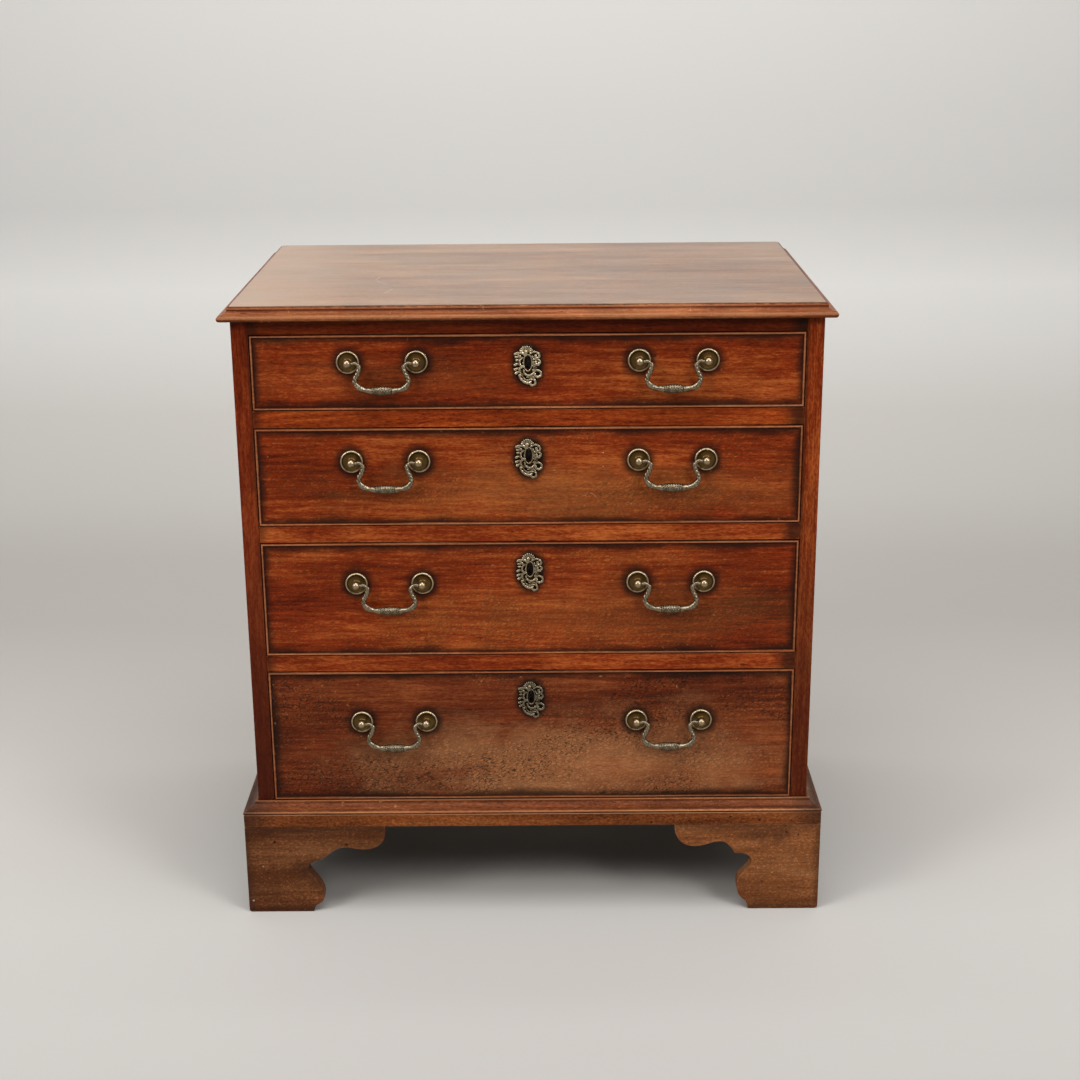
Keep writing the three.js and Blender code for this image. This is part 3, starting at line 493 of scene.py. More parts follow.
def make_stage():
    line = [(FLOOR_FRONT, 0.0), (SWEEP_START, 0.0)]
    for i in range(1, SWEEP_STEPS + 1):
        a = math.pi / 2 * i / SWEEP_STEPS
        line.append((SWEEP_START + SWEEP_RADIUS * math.sin(a), SWEEP_RADIUS * (1 - math.cos(a))))
    line.append((SWEEP_START + SWEEP_RADIUS, WALL_TOP))
    mesh = bpy.data.meshes.new("seamless_floor")
    points = [(x, y, z) for y, z in line for x in (-STAGE_HALF_WIDTH, STAGE_HALF_WIDTH)]
    faces = [(2 * i, 2 * i + 1, 2 * i + 3, 2 * i + 2) for i in range(len(line) - 1)]
    mesh.from_pydata(points, [], faces)
    mesh.polygons.foreach_set("use_smooth", [True] * len(faces))
    mesh.materials.append(stage_finish())
    new_object("seamless_floor", mesh)


def make_lights():
    for name, (place, aim, size, power) in LAMPS.items():
        lamp = bpy.data.lights.new(name, "AREA")
        lamp.shape = "RECTANGLE"
        lamp.size, lamp.size_y = size
        lamp.energy = power
        box = new_object(name, lamp)
        box.location = place
        box.rotation_mode = "QUATERNION"
        box.rotation_quaternion = (Vector(aim) - Vector(place)).to_track_quat("-Z", "Y")
    world = bpy.data.worlds.new("studio")
    bpy.context.scene.world = world
    g = Graph(world)
    rise = g.parts(g.add("ShaderNodeTexCoord", {}, "Generated"))[2]
    path = g.nodes.new("ShaderNodeLightPath").outputs
    camera, glossy, through = (Value(g, path[f"Is {kind} Ray"]) for kind in RAYS_THAT_SEE)
    seen = g.most(camera, g.most(glossy, through))
    strength = g.most(g.smooth(rise, *SKY_RISE), seen * ROOM_SEEN)
    room = g.add("ShaderNodeBackground", {"Color": g.blend(seen, SKY_TINT, ROOM_TINT), "Strength": strength})
    g.add("ShaderNodeOutputWorld", {"Surface": room})


def make_camera():
    data = bpy.data.cameras.new("camera")
    data.sensor_width = SENSOR
    data.lens = FOCAL_PIXELS * SENSOR / PHOTO_SIZE
    camera = new_object("camera", data)
    pose = Matrix.Translation(CAMERA_PLACE)
    for angle, axis in ((-CAMERA_YAW, "Z"), (math.pi / 2 - CAMERA_PITCH, "X"), (CAMERA_ROLL, "Z")):
        pose = pose @ Matrix.Rotation(angle, 4, axis)
    camera.matrix_world = pose
    bpy.context.scene.camera = camera


# Making pieces
def paint(node, material):
    mesh = nodes[node].data
    mesh.materials.clear()
    mesh.materials.append(material)


def round_arrises(piece, width):
    """Rounds a piece's arrises a little, as a modifier, so that they catch the light."""
    bevel = piece.modifiers.new("arris", "BEVEL")
    bevel.width = width
    bevel.segments = 2
    bevel.limit_method = "ANGLE"
    bevel.angle_limit = SHARP
    bevel.use_clamp_overlap = False


def soften(node, width):
    """Joins a CAD piece's facets into whole faces, and rounds its arrises."""
    piece = nodes[node]
    weld = piece.modifiers.new("weld", "WELD")
    weld.merge_threshold = WELD
    clean = piece.modifiers.new("clean", "DECIMATE")
    clean.decimate_type = "DISSOLVE"
    clean.angle_limit = FLAT
    round_arrises(piece, width)


def new_piece(name, mesh, material, body, replaced=(), place=(0.0, 0.0, 0.0)):
    """Puts a mesh in the scene as a piece that rides on a CAD body."""
    if not mesh.materials:
        mesh.materials.append(None)
    piece = new_object(name, mesh)
    piece.material_slots[0].link = "OBJECT"
    piece.material_slots[0].material = material
    piece.location = place
    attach(piece, body)
    if replaced:
        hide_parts(*replaced)
    return piece


def outward_mesh(shape, name):
    """The mesh of a finished shape, its faces turned outwards."""
    bmesh.ops.recalc_face_normals(shape, faces=shape.faces)
    mesh = bpy.data.meshes.new(name)
    shape.to_mesh(mesh)
    shape.free()
    return mesh


def skin(name, rings):
    """A smooth surface along a row of rings of points, with a flat cap at each end."""
    points = np.array(rings)
    count, sides = points.shape[:2]
    index = np.arange(count * sides).reshape(count, sides)
    here, down = index[:-1], index[1:]
    quads = np.stack([here, np.roll(here, -1, axis=1), np.roll(down, -1, axis=1), down], axis=-1)
    faces = quads.reshape(-1, 4).tolist() + [index[0][::-1].tolist(), index[-1].tolist()]
    draft = bpy.data.meshes.new(name)
    draft.from_pydata(points.reshape(-1, 3).tolist(), [], faces)
    draft.polygons.foreach_set("use_smooth", [len(face) == 4 for face in faces])
    draft.validate()
    shape = bmesh.new()
    shape.from_mesh(draft)
    bpy.data.meshes.remove(draft)
    return outward_mesh(shape, name)


def around(sides):
    return np.linspace(0, 2 * math.pi, sides, endpoint=False)


def spline(points, step):
    """A smooth curve through points, as points about one step apart."""
    points = np.array(points, float)
    ends = np.vstack([2 * points[0] - points[1], points, 2 * points[-1] - points[-2]])
    out = []
    for i in range(1, len(ends) - 2):
        p0, p1, p2, p3 = ends[i - 1:i + 3]
        count = max(2, int(np.linalg.norm(p2 - p1) / step))
        for t in np.arange(count) / count:
            out.append(0.5 * (2 * p1 + (p2 - p0) * t + (2 * p0 - 5 * p1 + 4 * p2 - p3) * t ** 2
                              + (3 * p1 - p0 - 3 * p2 + p3) * t ** 3))
    return np.array(out + [points[-1]])


def ring(radius, height, angles):
    """A ring of points in mm round a line that stands out of the front, at this height on it."""
    return np.stack([radius * np.cos(angles), 0 * angles - height, radius * np.sin(angles)], axis=-1) * MM


# Handle posts: a dished rose with a milled rim, a neck and the ball that the bail swings in. Each row
# of the profile is radius and height in mm.
ROSE_SIDES = 144
ROSE_TEETH = 48
ROSE_TOOTH = 0.16
ROSE_PROFILE = [(15.0, 0.05), (15.05, 0.9), (14.9, 1.7), (14.5, 2.5), (13.9, 3.05), (13.3, 3.2), (12.7, 3.0),
                (12.2, 2.4), (11.7, 1.8), (10.8, 1.35), (9.0, 1.0), (7.0, 0.9), (5.4, 1.05), (4.4, 1.6),
                (3.7, 2.5), (3.3, 3.6), (3.1, 4.8)]
TOOTH_SHARES = {1: 1.0, 2: 1.0, 3: 1.0, 4: 1.0, 5: 0.6, 6: 0.6, 7: 0.6}
BALL_RADIUS = 5.6
BALL_HEIGHT = 10.5
BALL_STEPS = 14
TIP_RADIUS = 0.001
BORE_RADIUS = 2.35
BORE_SIDES = 24
BORE_REACH = 8.0


def post_mesh():
    neck = math.acos(ROSE_PROFILE[-1][0] / BALL_RADIUS)
    turns = [-neck + (math.pi / 2 + neck) * i / BALL_STEPS for i in range(BALL_STEPS + 1)]
    ball = [(BALL_RADIUS * math.cos(a) + TIP_RADIUS, BALL_HEIGHT + BALL_RADIUS * math.sin(a)) for a in turns]
    angles = around(ROSE_SIDES)
    tooth = ROSE_TOOTH * np.cos(ROSE_TEETH * angles)
    rows = []
    for i, (radius, height) in enumerate(ROSE_PROFILE + ball):
        share = TOOTH_SHARES.get(i, 0.0)
        rise = height + 0.5 * tooth if share else height
        rows.append(ring(radius + tooth * share, rise, angles))
    return skin("handle_post", rows)


def bored(mesh, end):
    """The same post with the bore that takes a bail's pin on one side of its ball."""
    post = new_object("post", mesh)
    run = sorted((0.0, -BORE_REACH * end), reverse=True)
    rows = [[(x * MM, (BORE_RADIUS * math.cos(a) - BALL_HEIGHT) * MM, BORE_RADIUS * math.sin(a) * MM)
             for a in around(BORE_SIDES)] for x in run]
    drill = new_object("drill", skin("drill", rows))
    cut = post.modifiers.new("bore", "BOOLEAN")
    cut.operation = "DIFFERENCE"
    cut.solver = "EXACT"
    cut.object = drill
    bpy.context.view_layer.update()
    result = bpy.data.meshes.new_from_object(post.evaluated_get(bpy.context.evaluated_depsgraph_get()))
    for item in (post, drill):
        bpy.data.objects.remove(item)
    return result


# Nut and bolt end behind each post, inside the drawer: rows of radius, height and sides
NUT_SIDES = 48
NUT_PROFILE = [(6.5, 0.1, 6), (6.5, 2.4, 6), (5.9, 3.0, 24), (2.6, 3.0, 24), (2.5, 6.0, 24), (1.9, 6.6, 24),
               (0.01, 6.7, 24)]


def nut_mesh():
    angles = around(NUT_SIDES)
    rows = []
    for radius, height, sides in NUT_PROFILE:
        flat = math.pi / sides
        reach = radius * math.cos(flat) / np.cos((angles + flat) % (2 * flat) - flat)
        rows.append(ring(np.minimum(reach, radius), -height, angles))
    return skin("handle_nut", rows)


# Swan-neck bail: its right half from the middle of the grip to the pin, in mm round the pivot line,
# and how far along it each form ends
BAIL_LINE = [(0.0, -35.0), (7.0, -35.0), (14.5, -35.0), (20.9, -34.1), (28.9, -31.0), (33.5, -25.2),
             (33.3, -18.9), (30.0, -12.3), (28.15, -4.9), (30.9, -0.7), (34.4, 0.7), (37.4, 0.0),
             (42.3, 0.0)]
BAIL_STEP = 0.3
BAIL_SIDES = 32
GRIP_END, BEAD_PLACE, CUP_END, LEAF_END, TWIST_END = 12.6, 13.6, 20.0, 38.0, 60.0
PIN_TAPER = 3.0

# Radii and reliefs in mm: the grip and its weave, the cup and its bead, the leaf, the twist, the pin
GRIP_RADIUS, GRIP_SWELL = 4.2, 1.3
WEAVE_RELIEF, WEAVE_DEPTH, WEAVE_PITCH = 1.05, 0.4, 0.95
CUP_RADIUS, CUP_FLARE, CUP_LOBE = 3.0, 1.15, 0.35
BEAD_RELIEF, BEAD_WIDTH = 0.55, 0.7
LEAF_RADIUS, LEAF_SWELL, LEAF_RIB, LEAF_SCALE, LEAF_PITCH = 2.85, 0.9, 0.38, 0.5, 0.28
TWIST_RADIUS, TWIST_FOOT, TWIST_RELIEF, TWIST_RIDGE, TWIST_PITCH = 2.75, 2.5, 0.95, 0.45, 0.60
TWIST_FADE_SHARE = 0.45
PIN_RADIUS = 1.9


def bail_radius(s, angles):
    """Radius round the rod at distance s from the grip's middle."""
    if s < GRIP_END:
        body = GRIP_RADIUS + GRIP_SWELL * (1 - (s / GRIP_END) ** 2)
        weave = np.abs(np.cos(4 * angles + s * WEAVE_PITCH) * np.cos(4 * angles - s * WEAVE_PITCH))
        return body - WEAVE_DEPTH + WEAVE_RELIEF * weave ** 0.8
    if s < CUP_END:
        share = (s - GRIP_END) / (CUP_END - GRIP_END)
        lobes = CUP_LOBE * np.abs(np.cos(2.5 * angles)) * (1 - share)
        bead = BEAD_RELIEF * math.exp(-((s - BEAD_PLACE) / BEAD_WIDTH) ** 2)
        return CUP_RADIUS + CUP_FLARE * (1 - share) ** 0.7 + lobes + bead
    if s < LEAF_END:
        share = (s - CUP_END) / (LEAF_END - CUP_END)
        arch = math.sin(math.pi * share)
        rib = LEAF_RIB * np.abs(np.cos(2 * angles + 1.9 * share)) * (0.3 + 0.7 * arch)
        scale = LEAF_SCALE * ((s * LEAF_PITCH + 0.08 * np.cos(3 * angles)) % 1.0) * arch
        return LEAF_RADIUS + LEAF_SWELL * arch ** 1.2 + rib + scale
    strand = np.abs(np.cos(1.5 * angles + (min(s, TWIST_END) - LEAF_END) * TWIST_PITCH))
    if s < TWIST_END:
        share = (s - LEAF_END) / (TWIST_END - LEAF_END)
        body = TWIST_RADIUS + (TWIST_FOOT - TWIST_RADIUS) * share
        return body + TWIST_RELIEF * strand ** 0.8 * (1 - TWIST_FADE_SHARE * share)
    share = min(1.0, (s - TWIST_END) / PIN_TAPER)
    return TWIST_FOOT + (PIN_RADIUS - TWIST_FOOT) * share + TWIST_RIDGE * strand * (1 - share)


def bail_mesh():
    half = spline(BAIL_LINE, BAIL_STEP)
    line = np.vstack([half[:0:-1] * (-1, 1), half])
    along = np.gradient(line, axis=0)
    along /= np.linalg.norm(along, axis=1)[:, None]
    run = np.concatenate([[0], np.cumsum(np.linalg.norm(np.diff(line, axis=0), axis=1))])
    run = run - run[-1] / 2
    angles = around(BAIL_SIDES)
    rows = []
    for (x, z), (ax, az), s in zip(line, along, run):
        radius = bail_radius(abs(s), angles if s > 0 else -angles)
        out = radius * np.cos(angles)
        rows.append(np.stack([x - az * out, -radius * np.sin(angles), z + ax * out], axis=-1) * MM)
    return skin("bail", rows)


# Escutcheon: a pierced rococo plate, worked out as a field of heights in mm round its middle.
# Strokes are [points, radius at the start, radius at the end, height of the middle line].
KEY_MIDDLE = 3.0
STROKES = [
    ([(-9.0, 10.5), (-12.6, 14.0), (-9.5, 16.2), (-5.0, 14.6), (-3.2, 12.8)], 1.0, 1.5, 1.5),
    ([(-16.0, 14.2), (-11.5, 15.8), (-7.4, 14.2)], 1.5, 0.9, 1.3),
    ([(-14.9, 10.2), (-11.4, 10.6), (-8.8, 8.6)], 1.4, 0.8, 1.2),
    ([(-14.4, 6.2), (-12.0, 6.4), (-10.6, 4.9)], 1.35, 0.8, 1.1),
    ([(-16.3, 0.2), (-13.2, 1.6), (-10.6, 0.4)], 1.5, 0.8, 1.2),
    ([(-16.2, -5.8), (-13.0, -4.4), (-9.6, -4.0)], 1.5, 0.8, 1.2),
    ([(-15.2, -10.6), (-12.4, -9.0), (-8.6, -7.6)], 1.5, 0.8, 1.2),
    ([(-6.0, 9.6), (-9.4, 6.8), (-10.3, 3.0), (-8.6, -0.6), (-5.4, -2.0)], 0.9, 1.3, 1.5),
    ([(-7.0, -1.8), (-10.4, -5.6), (-9.4, -10.4), (-6.0, -12.2)], 1.3, 0.9, 1.3),
    ([(3.4, 15.0), (7.2, 17.0), (11.6, 16.2), (14.9, 12.8), (13.4, 9.4), (10.2, 9.8), (9.9, 12.2)],
     1.1, 1.3, 1.5),
    ([(5.6, 11.0), (8.0, 7.6), (12.0, 7.4), (15.6, 4.8), (14.4, 1.9), (10.6, 1.6), (9.6, 4.2)],
     1.0, 1.3, 1.4),
    ([(6.6, 4.6), (7.6, 0.8), (9.2, -2.4)], 1.1, 0.9, 1.4),
    ([(7.2, -3.6), (9.0, 0.2), (13.3, 0.2)], 0.9, 1.4, 1.2),
    ([(6.4, -6.6), (9.2, -5.6), (11.2, -2.8)], 1.2, 0.8, 1.1),
    ([(7.6, -8.2), (12.0, -6.6), (16.2, -9.0), (16.4, -13.4), (12.8, -15.6), (9.0, -13.8), (8.6, -11.2)],
     1.1, 1.3, 1.4),
    ([(-5.2, -7.0), (-4.0, -11.0), (0.2, -13.6), (4.6, -12.6), (7.6, -9.6)], 1.0, 1.2, 1.6),
    ([(-11.0, -13.0), (-9.2, -17.4), (-5.4, -21.2), (-0.4, -23.2), (4.4, -22.2)], 1.1, 1.5, 1.5),
    ([(-7.6, -12.6), (-6.0, -16.0), (-2.2, -19.6), (2.6, -19.0)], 0.8, 1.2, 1.3),
    ([(2.8, -18.8), (6.6, -18.6), (9.6, -21.4), (8.6, -25.2), (5.0, -26.4), (2.4, -24.2)], 1.1, 1.2, 1.4),
    ([(-0.6, -14.8), (1.8, -16.6), (5.6, -15.4), (8.0, -17.6)], 0.9, 1.1, 1.2),
    ([(-2.2, 15.2), (-2.0, 17.4)], 1.5, 1.7, 1.8),
]
FAN_ROOT = (-1.6, 14.6)
FAN_RIBS = 8
FAN_ANGLES = (150.0, 34.0)
FAN_REACHES = (8.6, 9.4)
COLLAR = (5.3, 10.6, 1.25)
HOLES = [(-7.7, 3.2, 1.15, 2.7), (-3.6, -15.6, 1.5, 1.1), (5.9, -22.4, 1.6, 1.9), (12.6, -11.4, 1.6, 1.8),
         (-12.4, -1.9, 1.1, 0.6), (12.9, 5.2, 1.0, 0.8)]
PLATE = [(-8.5, 22.4), (-6.5, 25.3), (-1.8, 26.8), (3.2, 25.8), (6.8, 22.4), (5.6, 18.0), (11.0, 18.4),
         (15.8, 16.6), (17.2, 12.6), (15.2, 9.4), (17.6, 6.4), (17.0, 2.6), (13.8, -0.4), (12.4, -4.6),
         (17.4, -8.6), (17.6, -13.4), (13.2, -16.4), (9.8, -17.6), (10.8, -22.0), (8.6, -26.4), (4.4, -27.0),
         (0.0, -24.6), (-5.6, -22.4), (-10.2, -18.2), (-12.2, -13.2), (-15.6, -12.2), (-17.4, -9.4),
         (-15.2, -7.6), (-17.8, -5.2), (-15.4, -2.6), (-17.8, 0.2), (-15.2, 2.8), (-16.2, 7.0), (-15.0, 8.8),
         (-16.8, 11.0), (-15.6, 12.6), (-17.6, 15.0), (-12.0, 17.4), (-8.6, 18.2)]
PLATE_THICKNESS = 0.9
PLATE_STEP = 1.2
STROKE_STEP = 0.8
STROKE_SWELL = 1.45
KNOBS = [(-16.2, 14.4, 1.7), (-15.2, 10.4, 1.6), (-14.6, 6.4, 1.5), (-16.6, 0.2, 1.7), (-16.4, -5.8, 1.6),
         (-15.4, -10.8, 1.5), (-9.4, -13.2, 1.7), (-1.8, 12.9, 1.6), (10.4, 4.4, 1.7), (13.6, 0.2, 1.6),
         (10.6, 12.4, 1.6), (-5.0, 14.8, 1.5), (-5.6, 2.6, 1.3), (-5.6, -2.2, 1.4), (5.8, -1.0, 1.3),
         (2.4, -24.4, 1.5), (4.8, -18.6, 1.5), (9.2, -11.8, 1.6), (-1.0, -15.6, 1.3), (7.6, 7.4, 1.5)]
FIELD_STEP = 0.25
FIELD_HALF = (19.0, 28.0)
EDGE_RISE = 0.8
KNOB_LEVEL = 1.5
STROKE_LEVEL_SHARE = 0.75
STROKE_BEAT_SHARE = 0.09
RIB_RADII = (0.55, 1.40)
RIB_LEVELS = (0.9, 1.8)
COLLAR_LEVEL = 1.3
RIM_HEIGHT = 0.45
BACK_HEIGHT = 0.05


def to_segment(px, pz, a, b):
    """Distance from each field point to a segment, and how far along it the nearest point lies."""
    dx, dz = b[0] - a[0], b[1] - a[1]
    t = np.clip(((px - a[0]) * dx + (pz - a[1]) * dz) / max(dx * dx + dz * dz, 1e-9), 0, 1)
    return np.hypot(px - a[0] - t * dx, pz - a[1] - t * dz), t


def inside_outline(px, pz, outline):
    """Signed distance to a closed outline, positive inside."""
    nearest = np.full(px.shape, 1e9)
    within = np.zeros(px.shape, bool)
    for (ax, az), (bx, bz) in zip(outline, outline[1:] + outline[:1]):
        nearest = np.minimum(nearest, to_segment(px, pz, (ax, az), (bx, bz))[0])
        within ^= ((az > pz) != (bz > pz)) & (px < (bx - ax) * (pz - az) / (bz - az + 1e-12) + ax)
    return np.where(within, nearest, -nearest)


def add_rod(edge, rise, reach, radius, level):
    """Lays a round rod on the plate, where reach is each field point's distance from its middle line."""
    depth = radius - reach
    bulge = np.sqrt(np.clip(radius ** 2 - np.clip(radius - depth, 0, radius) ** 2, 0, None))
    return np.maximum(edge, depth), np.maximum(rise, np.where(reach < radius, level + bulge, 0))


def escutcheon_field():
    """Height and edge fields of the plate: the edge field is positive on metal."""
    width, height = FIELD_HALF
    px, pz = np.meshgrid(np.arange(-width, width + FIELD_STEP / 2, FIELD_STEP),
                         np.arange(-height, height + FIELD_STEP / 2, FIELD_STEP))
    edge = inside_outline(px, pz, [tuple(p) for p in spline(PLATE + PLATE[:1], PLATE_STEP)])
    rise = PLATE_THICKNESS * np.clip(edge / EDGE_RISE, 0, 1) ** 0.5
    for kx, kz, radius in KNOBS:
        edge, rise = add_rod(edge, rise, np.hypot(px - kx, pz - kz), radius, KNOB_LEVEL)
    for points, start, end, level in STROKES:
        line = spline(points, STROKE_STEP)
        for i, (a, b) in enumerate(zip(line[:-1], line[1:])):
            reach, t = to_segment(px, pz, a, b)
            radius = STROKE_SWELL * (start + (end - start) * (i + t) / (len(line) - 1))
            radius = radius * (1 + STROKE_BEAT_SHARE * np.sin(1.2 * (i + t)))
            edge, rise = add_rod(edge, rise, reach, radius, level * STROKE_LEVEL_SHARE)
    fx, fz = FAN_ROOT
    for i in range(FAN_RIBS):
        share = i / (FAN_RIBS - 1)
        angle = math.radians(FAN_ANGLES[0] + (FAN_ANGLES[1] - FAN_ANGLES[0]) * share)
        out = FAN_REACHES[0] + (FAN_REACHES[1] - FAN_REACHES[0]) * math.sin(math.pi * share)
        reach, t = to_segment(px, pz, FAN_ROOT, (fx + out * math.cos(angle), fz + out * math.sin(angle)))
        radius, level = (low + (high - low) * t for low, high in (RIB_RADII, RIB_LEVELS))
        edge, rise = add_rod(edge, rise, reach, radius, level)
    wide, tall, thick = COLLAR
    scaled = np.hypot(px / wide, (pz - KEY_MIDDLE) / tall)
    ring_reach = np.abs(scaled - 1.0) * np.hypot(px, pz - KEY_MIDDLE) / np.maximum(scaled, 1e-6)
    edge, rise = add_rod(edge, rise, ring_reach, thick, COLLAR_LEVEL)
    for hx, hz, half, high in HOLES:
        near = np.hypot((px - hx) / half, (pz - hz) / high)
        edge = np.minimum(edge, (near - 1.0) * min(half, high))
    opening = (1.0 - np.hypot(px / (wide - thick), (pz - KEY_MIDDLE) / (tall - thick))) * (wide - thick)
    return px, pz, np.minimum(edge, -opening), rise


def escutcheon_mesh():
    """The plate as a net over the field's metal, its rim drawn to the true edge and turned back."""
    px, pz, edge, rise = escutcheon_field()
    rows, columns = px.shape
    slope_z, slope_x = np.gradient(edge, FIELD_STEP)
    steep = np.maximum(slope_x ** 2 + slope_z ** 2, 0.3)
    keep = np.zeros((rows - 1, columns - 1), bool)
    for i in (0, 1):
        for j in (0, 1):
            keep |= edge[i:rows - 1 + i, j:columns - 1 + j] > 0
    pull = np.where(edge < 0, -edge / steep, 0)
    sx, sz = px + slope_x * pull, pz + slope_z * pull
    far = np.hypot(sx - px, sz - pz) > FIELD_STEP * 1.5
    sx, sz = np.where(far, px, sx), np.where(far, pz, sz)
    lift = np.where(edge < 0, RIM_HEIGHT, np.maximum(rise, RIM_HEIGHT))
    shape = bmesh.new()
    used = {}
    for r, c in zip(*np.nonzero(keep)):
        quad = []
        for k in ((r, c), (r, c + 1), (r + 1, c + 1), (r + 1, c)):
            if k not in used:
                used[k] = shape.verts.new((sx[k] * MM, -lift[k] * MM, sz[k] * MM))
            quad.append(used[k])
        shape.faces.new(quad).smooth = True
    rim = [e for e in shape.edges if e.is_boundary]
    for item in bmesh.ops.extrude_edge_only(shape, edges=rim)["geom"]:
        if isinstance(item, bmesh.types.BMVert):
            item.co.y = -BACK_HEIGHT * MM
    return outward_mesh(shape, "escutcheon")


def bare_front(number):
    """A drawer front's board on its own: the brass on it is made as separate pieces."""
    shape = bmesh.new()
    shape.from_mesh(nodes[f"drawer_{number}_front"].data)
    bmesh.ops.remove_doubles(shape, verts=shape.verts, dist=WELD)
    low, high = CASE_FRONT - BOARD_SLACK, CASE_FRONT + FRONT_THICKNESS + BOARD_SLACK
    off = [v for v in shape.verts if not low < v.co.y < high]
    bmesh.ops.delete(shape, geom=off, context="VERTS")
    bmesh.ops.holes_fill(shape, edges=[e for e in shape.edges if e.is_boundary], sides=0)
    bmesh.ops.dissolve_limit(shape, angle_limit=FLAT, verts=shape.verts, edges=shape.edges)
    return outward_mesh(shape, f"drawer_{number}_front_board")


# Bracket feet: two scrolled brackets mitred at the corner, with a block glued in the angle. The free
# edges run smoothly between cusps, as shares of the reach past the foot's base and of its height.
SCROLL_SHARES = {
    "left": [
        [(-0.033, 0), (-0.03, 0.056)],
        [(-0.03, 0.056), (0.093, 0.128), (0.106, 0.225), (0.04, 0.345), (-0.071, 0.479), (-0.053, 0.564),
         (0.131, 0.636), (0.215, 0.696), (0.374, 0.757), (0.636, 0.733), (0.794, 0.757), (0.903, 0.842),
         (0.93, 1)],
    ],
    "right": [
        [(0.028, 0), (0.058, 0.083), (0.152, 0.167), (0.182, 0.276), (0.159, 0.374), (0.069, 0.446),
         (0.007, 0.543), (0.022, 0.616), (0.103, 0.659), (0.221, 0.664)],
        [(0.221, 0.664), (0.262, 0.725), (0.364, 0.797), (0.495, 0.791), (0.626, 0.76), (0.757, 0.748),
         (0.888, 0.783), (0.975, 0.881), (1, 1)],
    ],
}
SCROLL_STEP = 2 * MM
BRACKET_LENGTH = 200 * MM
BRACKET_THICKNESS = 20 * MM
FOOT_BASE = 93 * MM
REAR_LENGTH = 120 * MM
REAR_RISE = 43 * MM
GLUE_BLOCK = 36 * MM
GLUE_BLOCK_FOOT = 6 * MM
FOOT_WEAR = 7 * MM
FOOT_WEAR_STEPS = 4
BLOCK_HEAD_GAP = 2 * MM


def scroll_line(side, height):
    """A bracket's free edge, from the sole up, as run from the corner and height."""
    line = []
    for run in SCROLL_SHARES[side]:
        knots = [(FOOT_BASE + u * (BRACKET_LENGTH - FOOT_BASE), z * height) for u, z in run]
        line += spline(knots, SCROLL_STEP).tolist()[1 if line else 0:]
    return line


def foot_mesh(node, side, rear):
    """The foot's two brackets in one skin, its lower outer corner knocked round, and the glue block."""
    low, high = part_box(node)
    corner = Vector((low.x if side == "left" else high.x, high.y if rear else low.y, 0.0))
    along_x = Vector((1.0 if side == "left" else -1.0, 0.0, 0.0))
    along_y = Vector((0.0, -1.0 if rear else 1.0, 0.0))
    height = high.z
    side_line = scroll_line(side, height)
    face_line = [(FOOT_BASE, 0.0), (FOOT_BASE, REAR_RISE), (REAR_LENGTH, height)] if rear else side_line
    shape = bmesh.new()
    for line, run, inward in ((face_line, along_x, along_y), (side_line, along_y, along_x)):
        rows = []
        for depth in (0.0, BRACKET_THICKNESS):
            outline = [(depth, 0.0), *line, (depth, height)]
            rows.append([shape.verts.new(corner + inward * depth + run * u + Vector((0.0, 0.0, z)))
                         for u, z in outline])
        outer, inner = rows
        shape.faces.new(outer)
        shape.faces.new(inner[::-1])
        for i in range(len(outer) - 1):
            shape.faces.new((outer[i], outer[i + 1], inner[i + 1], inner[i]))
    bmesh.ops.remove_doubles(shape, verts=shape.verts, dist=WELD)
    tip = min(shape.verts, key=lambda v: (v.co - corner).length)
    bmesh.ops.bevel(shape, geom=[tip], offset=FOOT_WEAR, offset_type="OFFSET", segments=FOOT_WEAR_STEPS,
                    profile=0.5, affect="VERTICES")
    reach = BRACKET_THICKNESS + GLUE_BLOCK / 2
    middle = corner + (along_x + along_y) * reach + Vector((0.0, 0.0, (height + GLUE_BLOCK_FOOT) / 2))
    block = Matrix.Diagonal((GLUE_BLOCK, GLUE_BLOCK, height - GLUE_BLOCK_FOOT - BLOCK_HEAD_GAP, 1.0))
    bmesh.ops.create_cube(shape, size=1.0, matrix=Matrix.Translation(middle) @ block)
    return outward_mesh(shape, f"{node}_brackets")


# Wear and dirt of the carcass, with painted highlight on the top moulding's nose. Each moulding line is its
# level, half width, colour and strength.
ARRIS = 0.5 * MM
FOOT_ARRIS = 0.7 * MM
RAIL_BACK = CASE_FRONT + 52 * MM
TOP_LOW, TOP_HIGH = (corner.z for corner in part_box("top_moulding"))
BASE_LOW, BASE_HIGH = (corner.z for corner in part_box("base_moulding"))
PLINTH_LOW, PLINTH_HIGH = (corner.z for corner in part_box("plinth_frame"))
TOP_RAGGED = 3 * MM
TOP_LINES = [
    (TOP_HIGH, 1.2 * MM, GRIME_AND_GAP_SHADE, 0.9),
    (TOP_HIGH - 2.4 * MM, 1.0 * MM, (0.36, 0.12, 0.045), 0.4),
    (TOP_HIGH - 5.0 * MM, 2.4 * MM, (0.12, 0.022, 0.007), 0.45),
    # Pale line along the nose: wear and painted highlight
    (TOP_LOW + 6.0 * MM, 2.6 * MM, (0.36, 0.15, 0.06), 0.6),
    (TOP_LOW, 2.4 * MM, (0.05, 0.02, 0.01), 0.85),
]
BASE_RAGGED = 0.7 * MM
BASE_LINES = [
    (BASE_HIGH, 1.0 * MM, (0.46, 0.19, 0.075), 0.85),
    (BASE_HIGH - 2.2 * MM, 1.1 * MM, (0.06, 0.014, 0.006), 0.6),
    (BASE_LOW + 5.2 * MM, 0.9 * MM, (0.05, 0.015, 0.007), 0.7),
    (BASE_LOW + 3.2 * MM, 0.9 * MM, (0.52, 0.23, 0.095), 0.9),
    (BASE_LOW, 1.7 * MM, GRIME_AND_GAP_SHADE, 1.0),
]
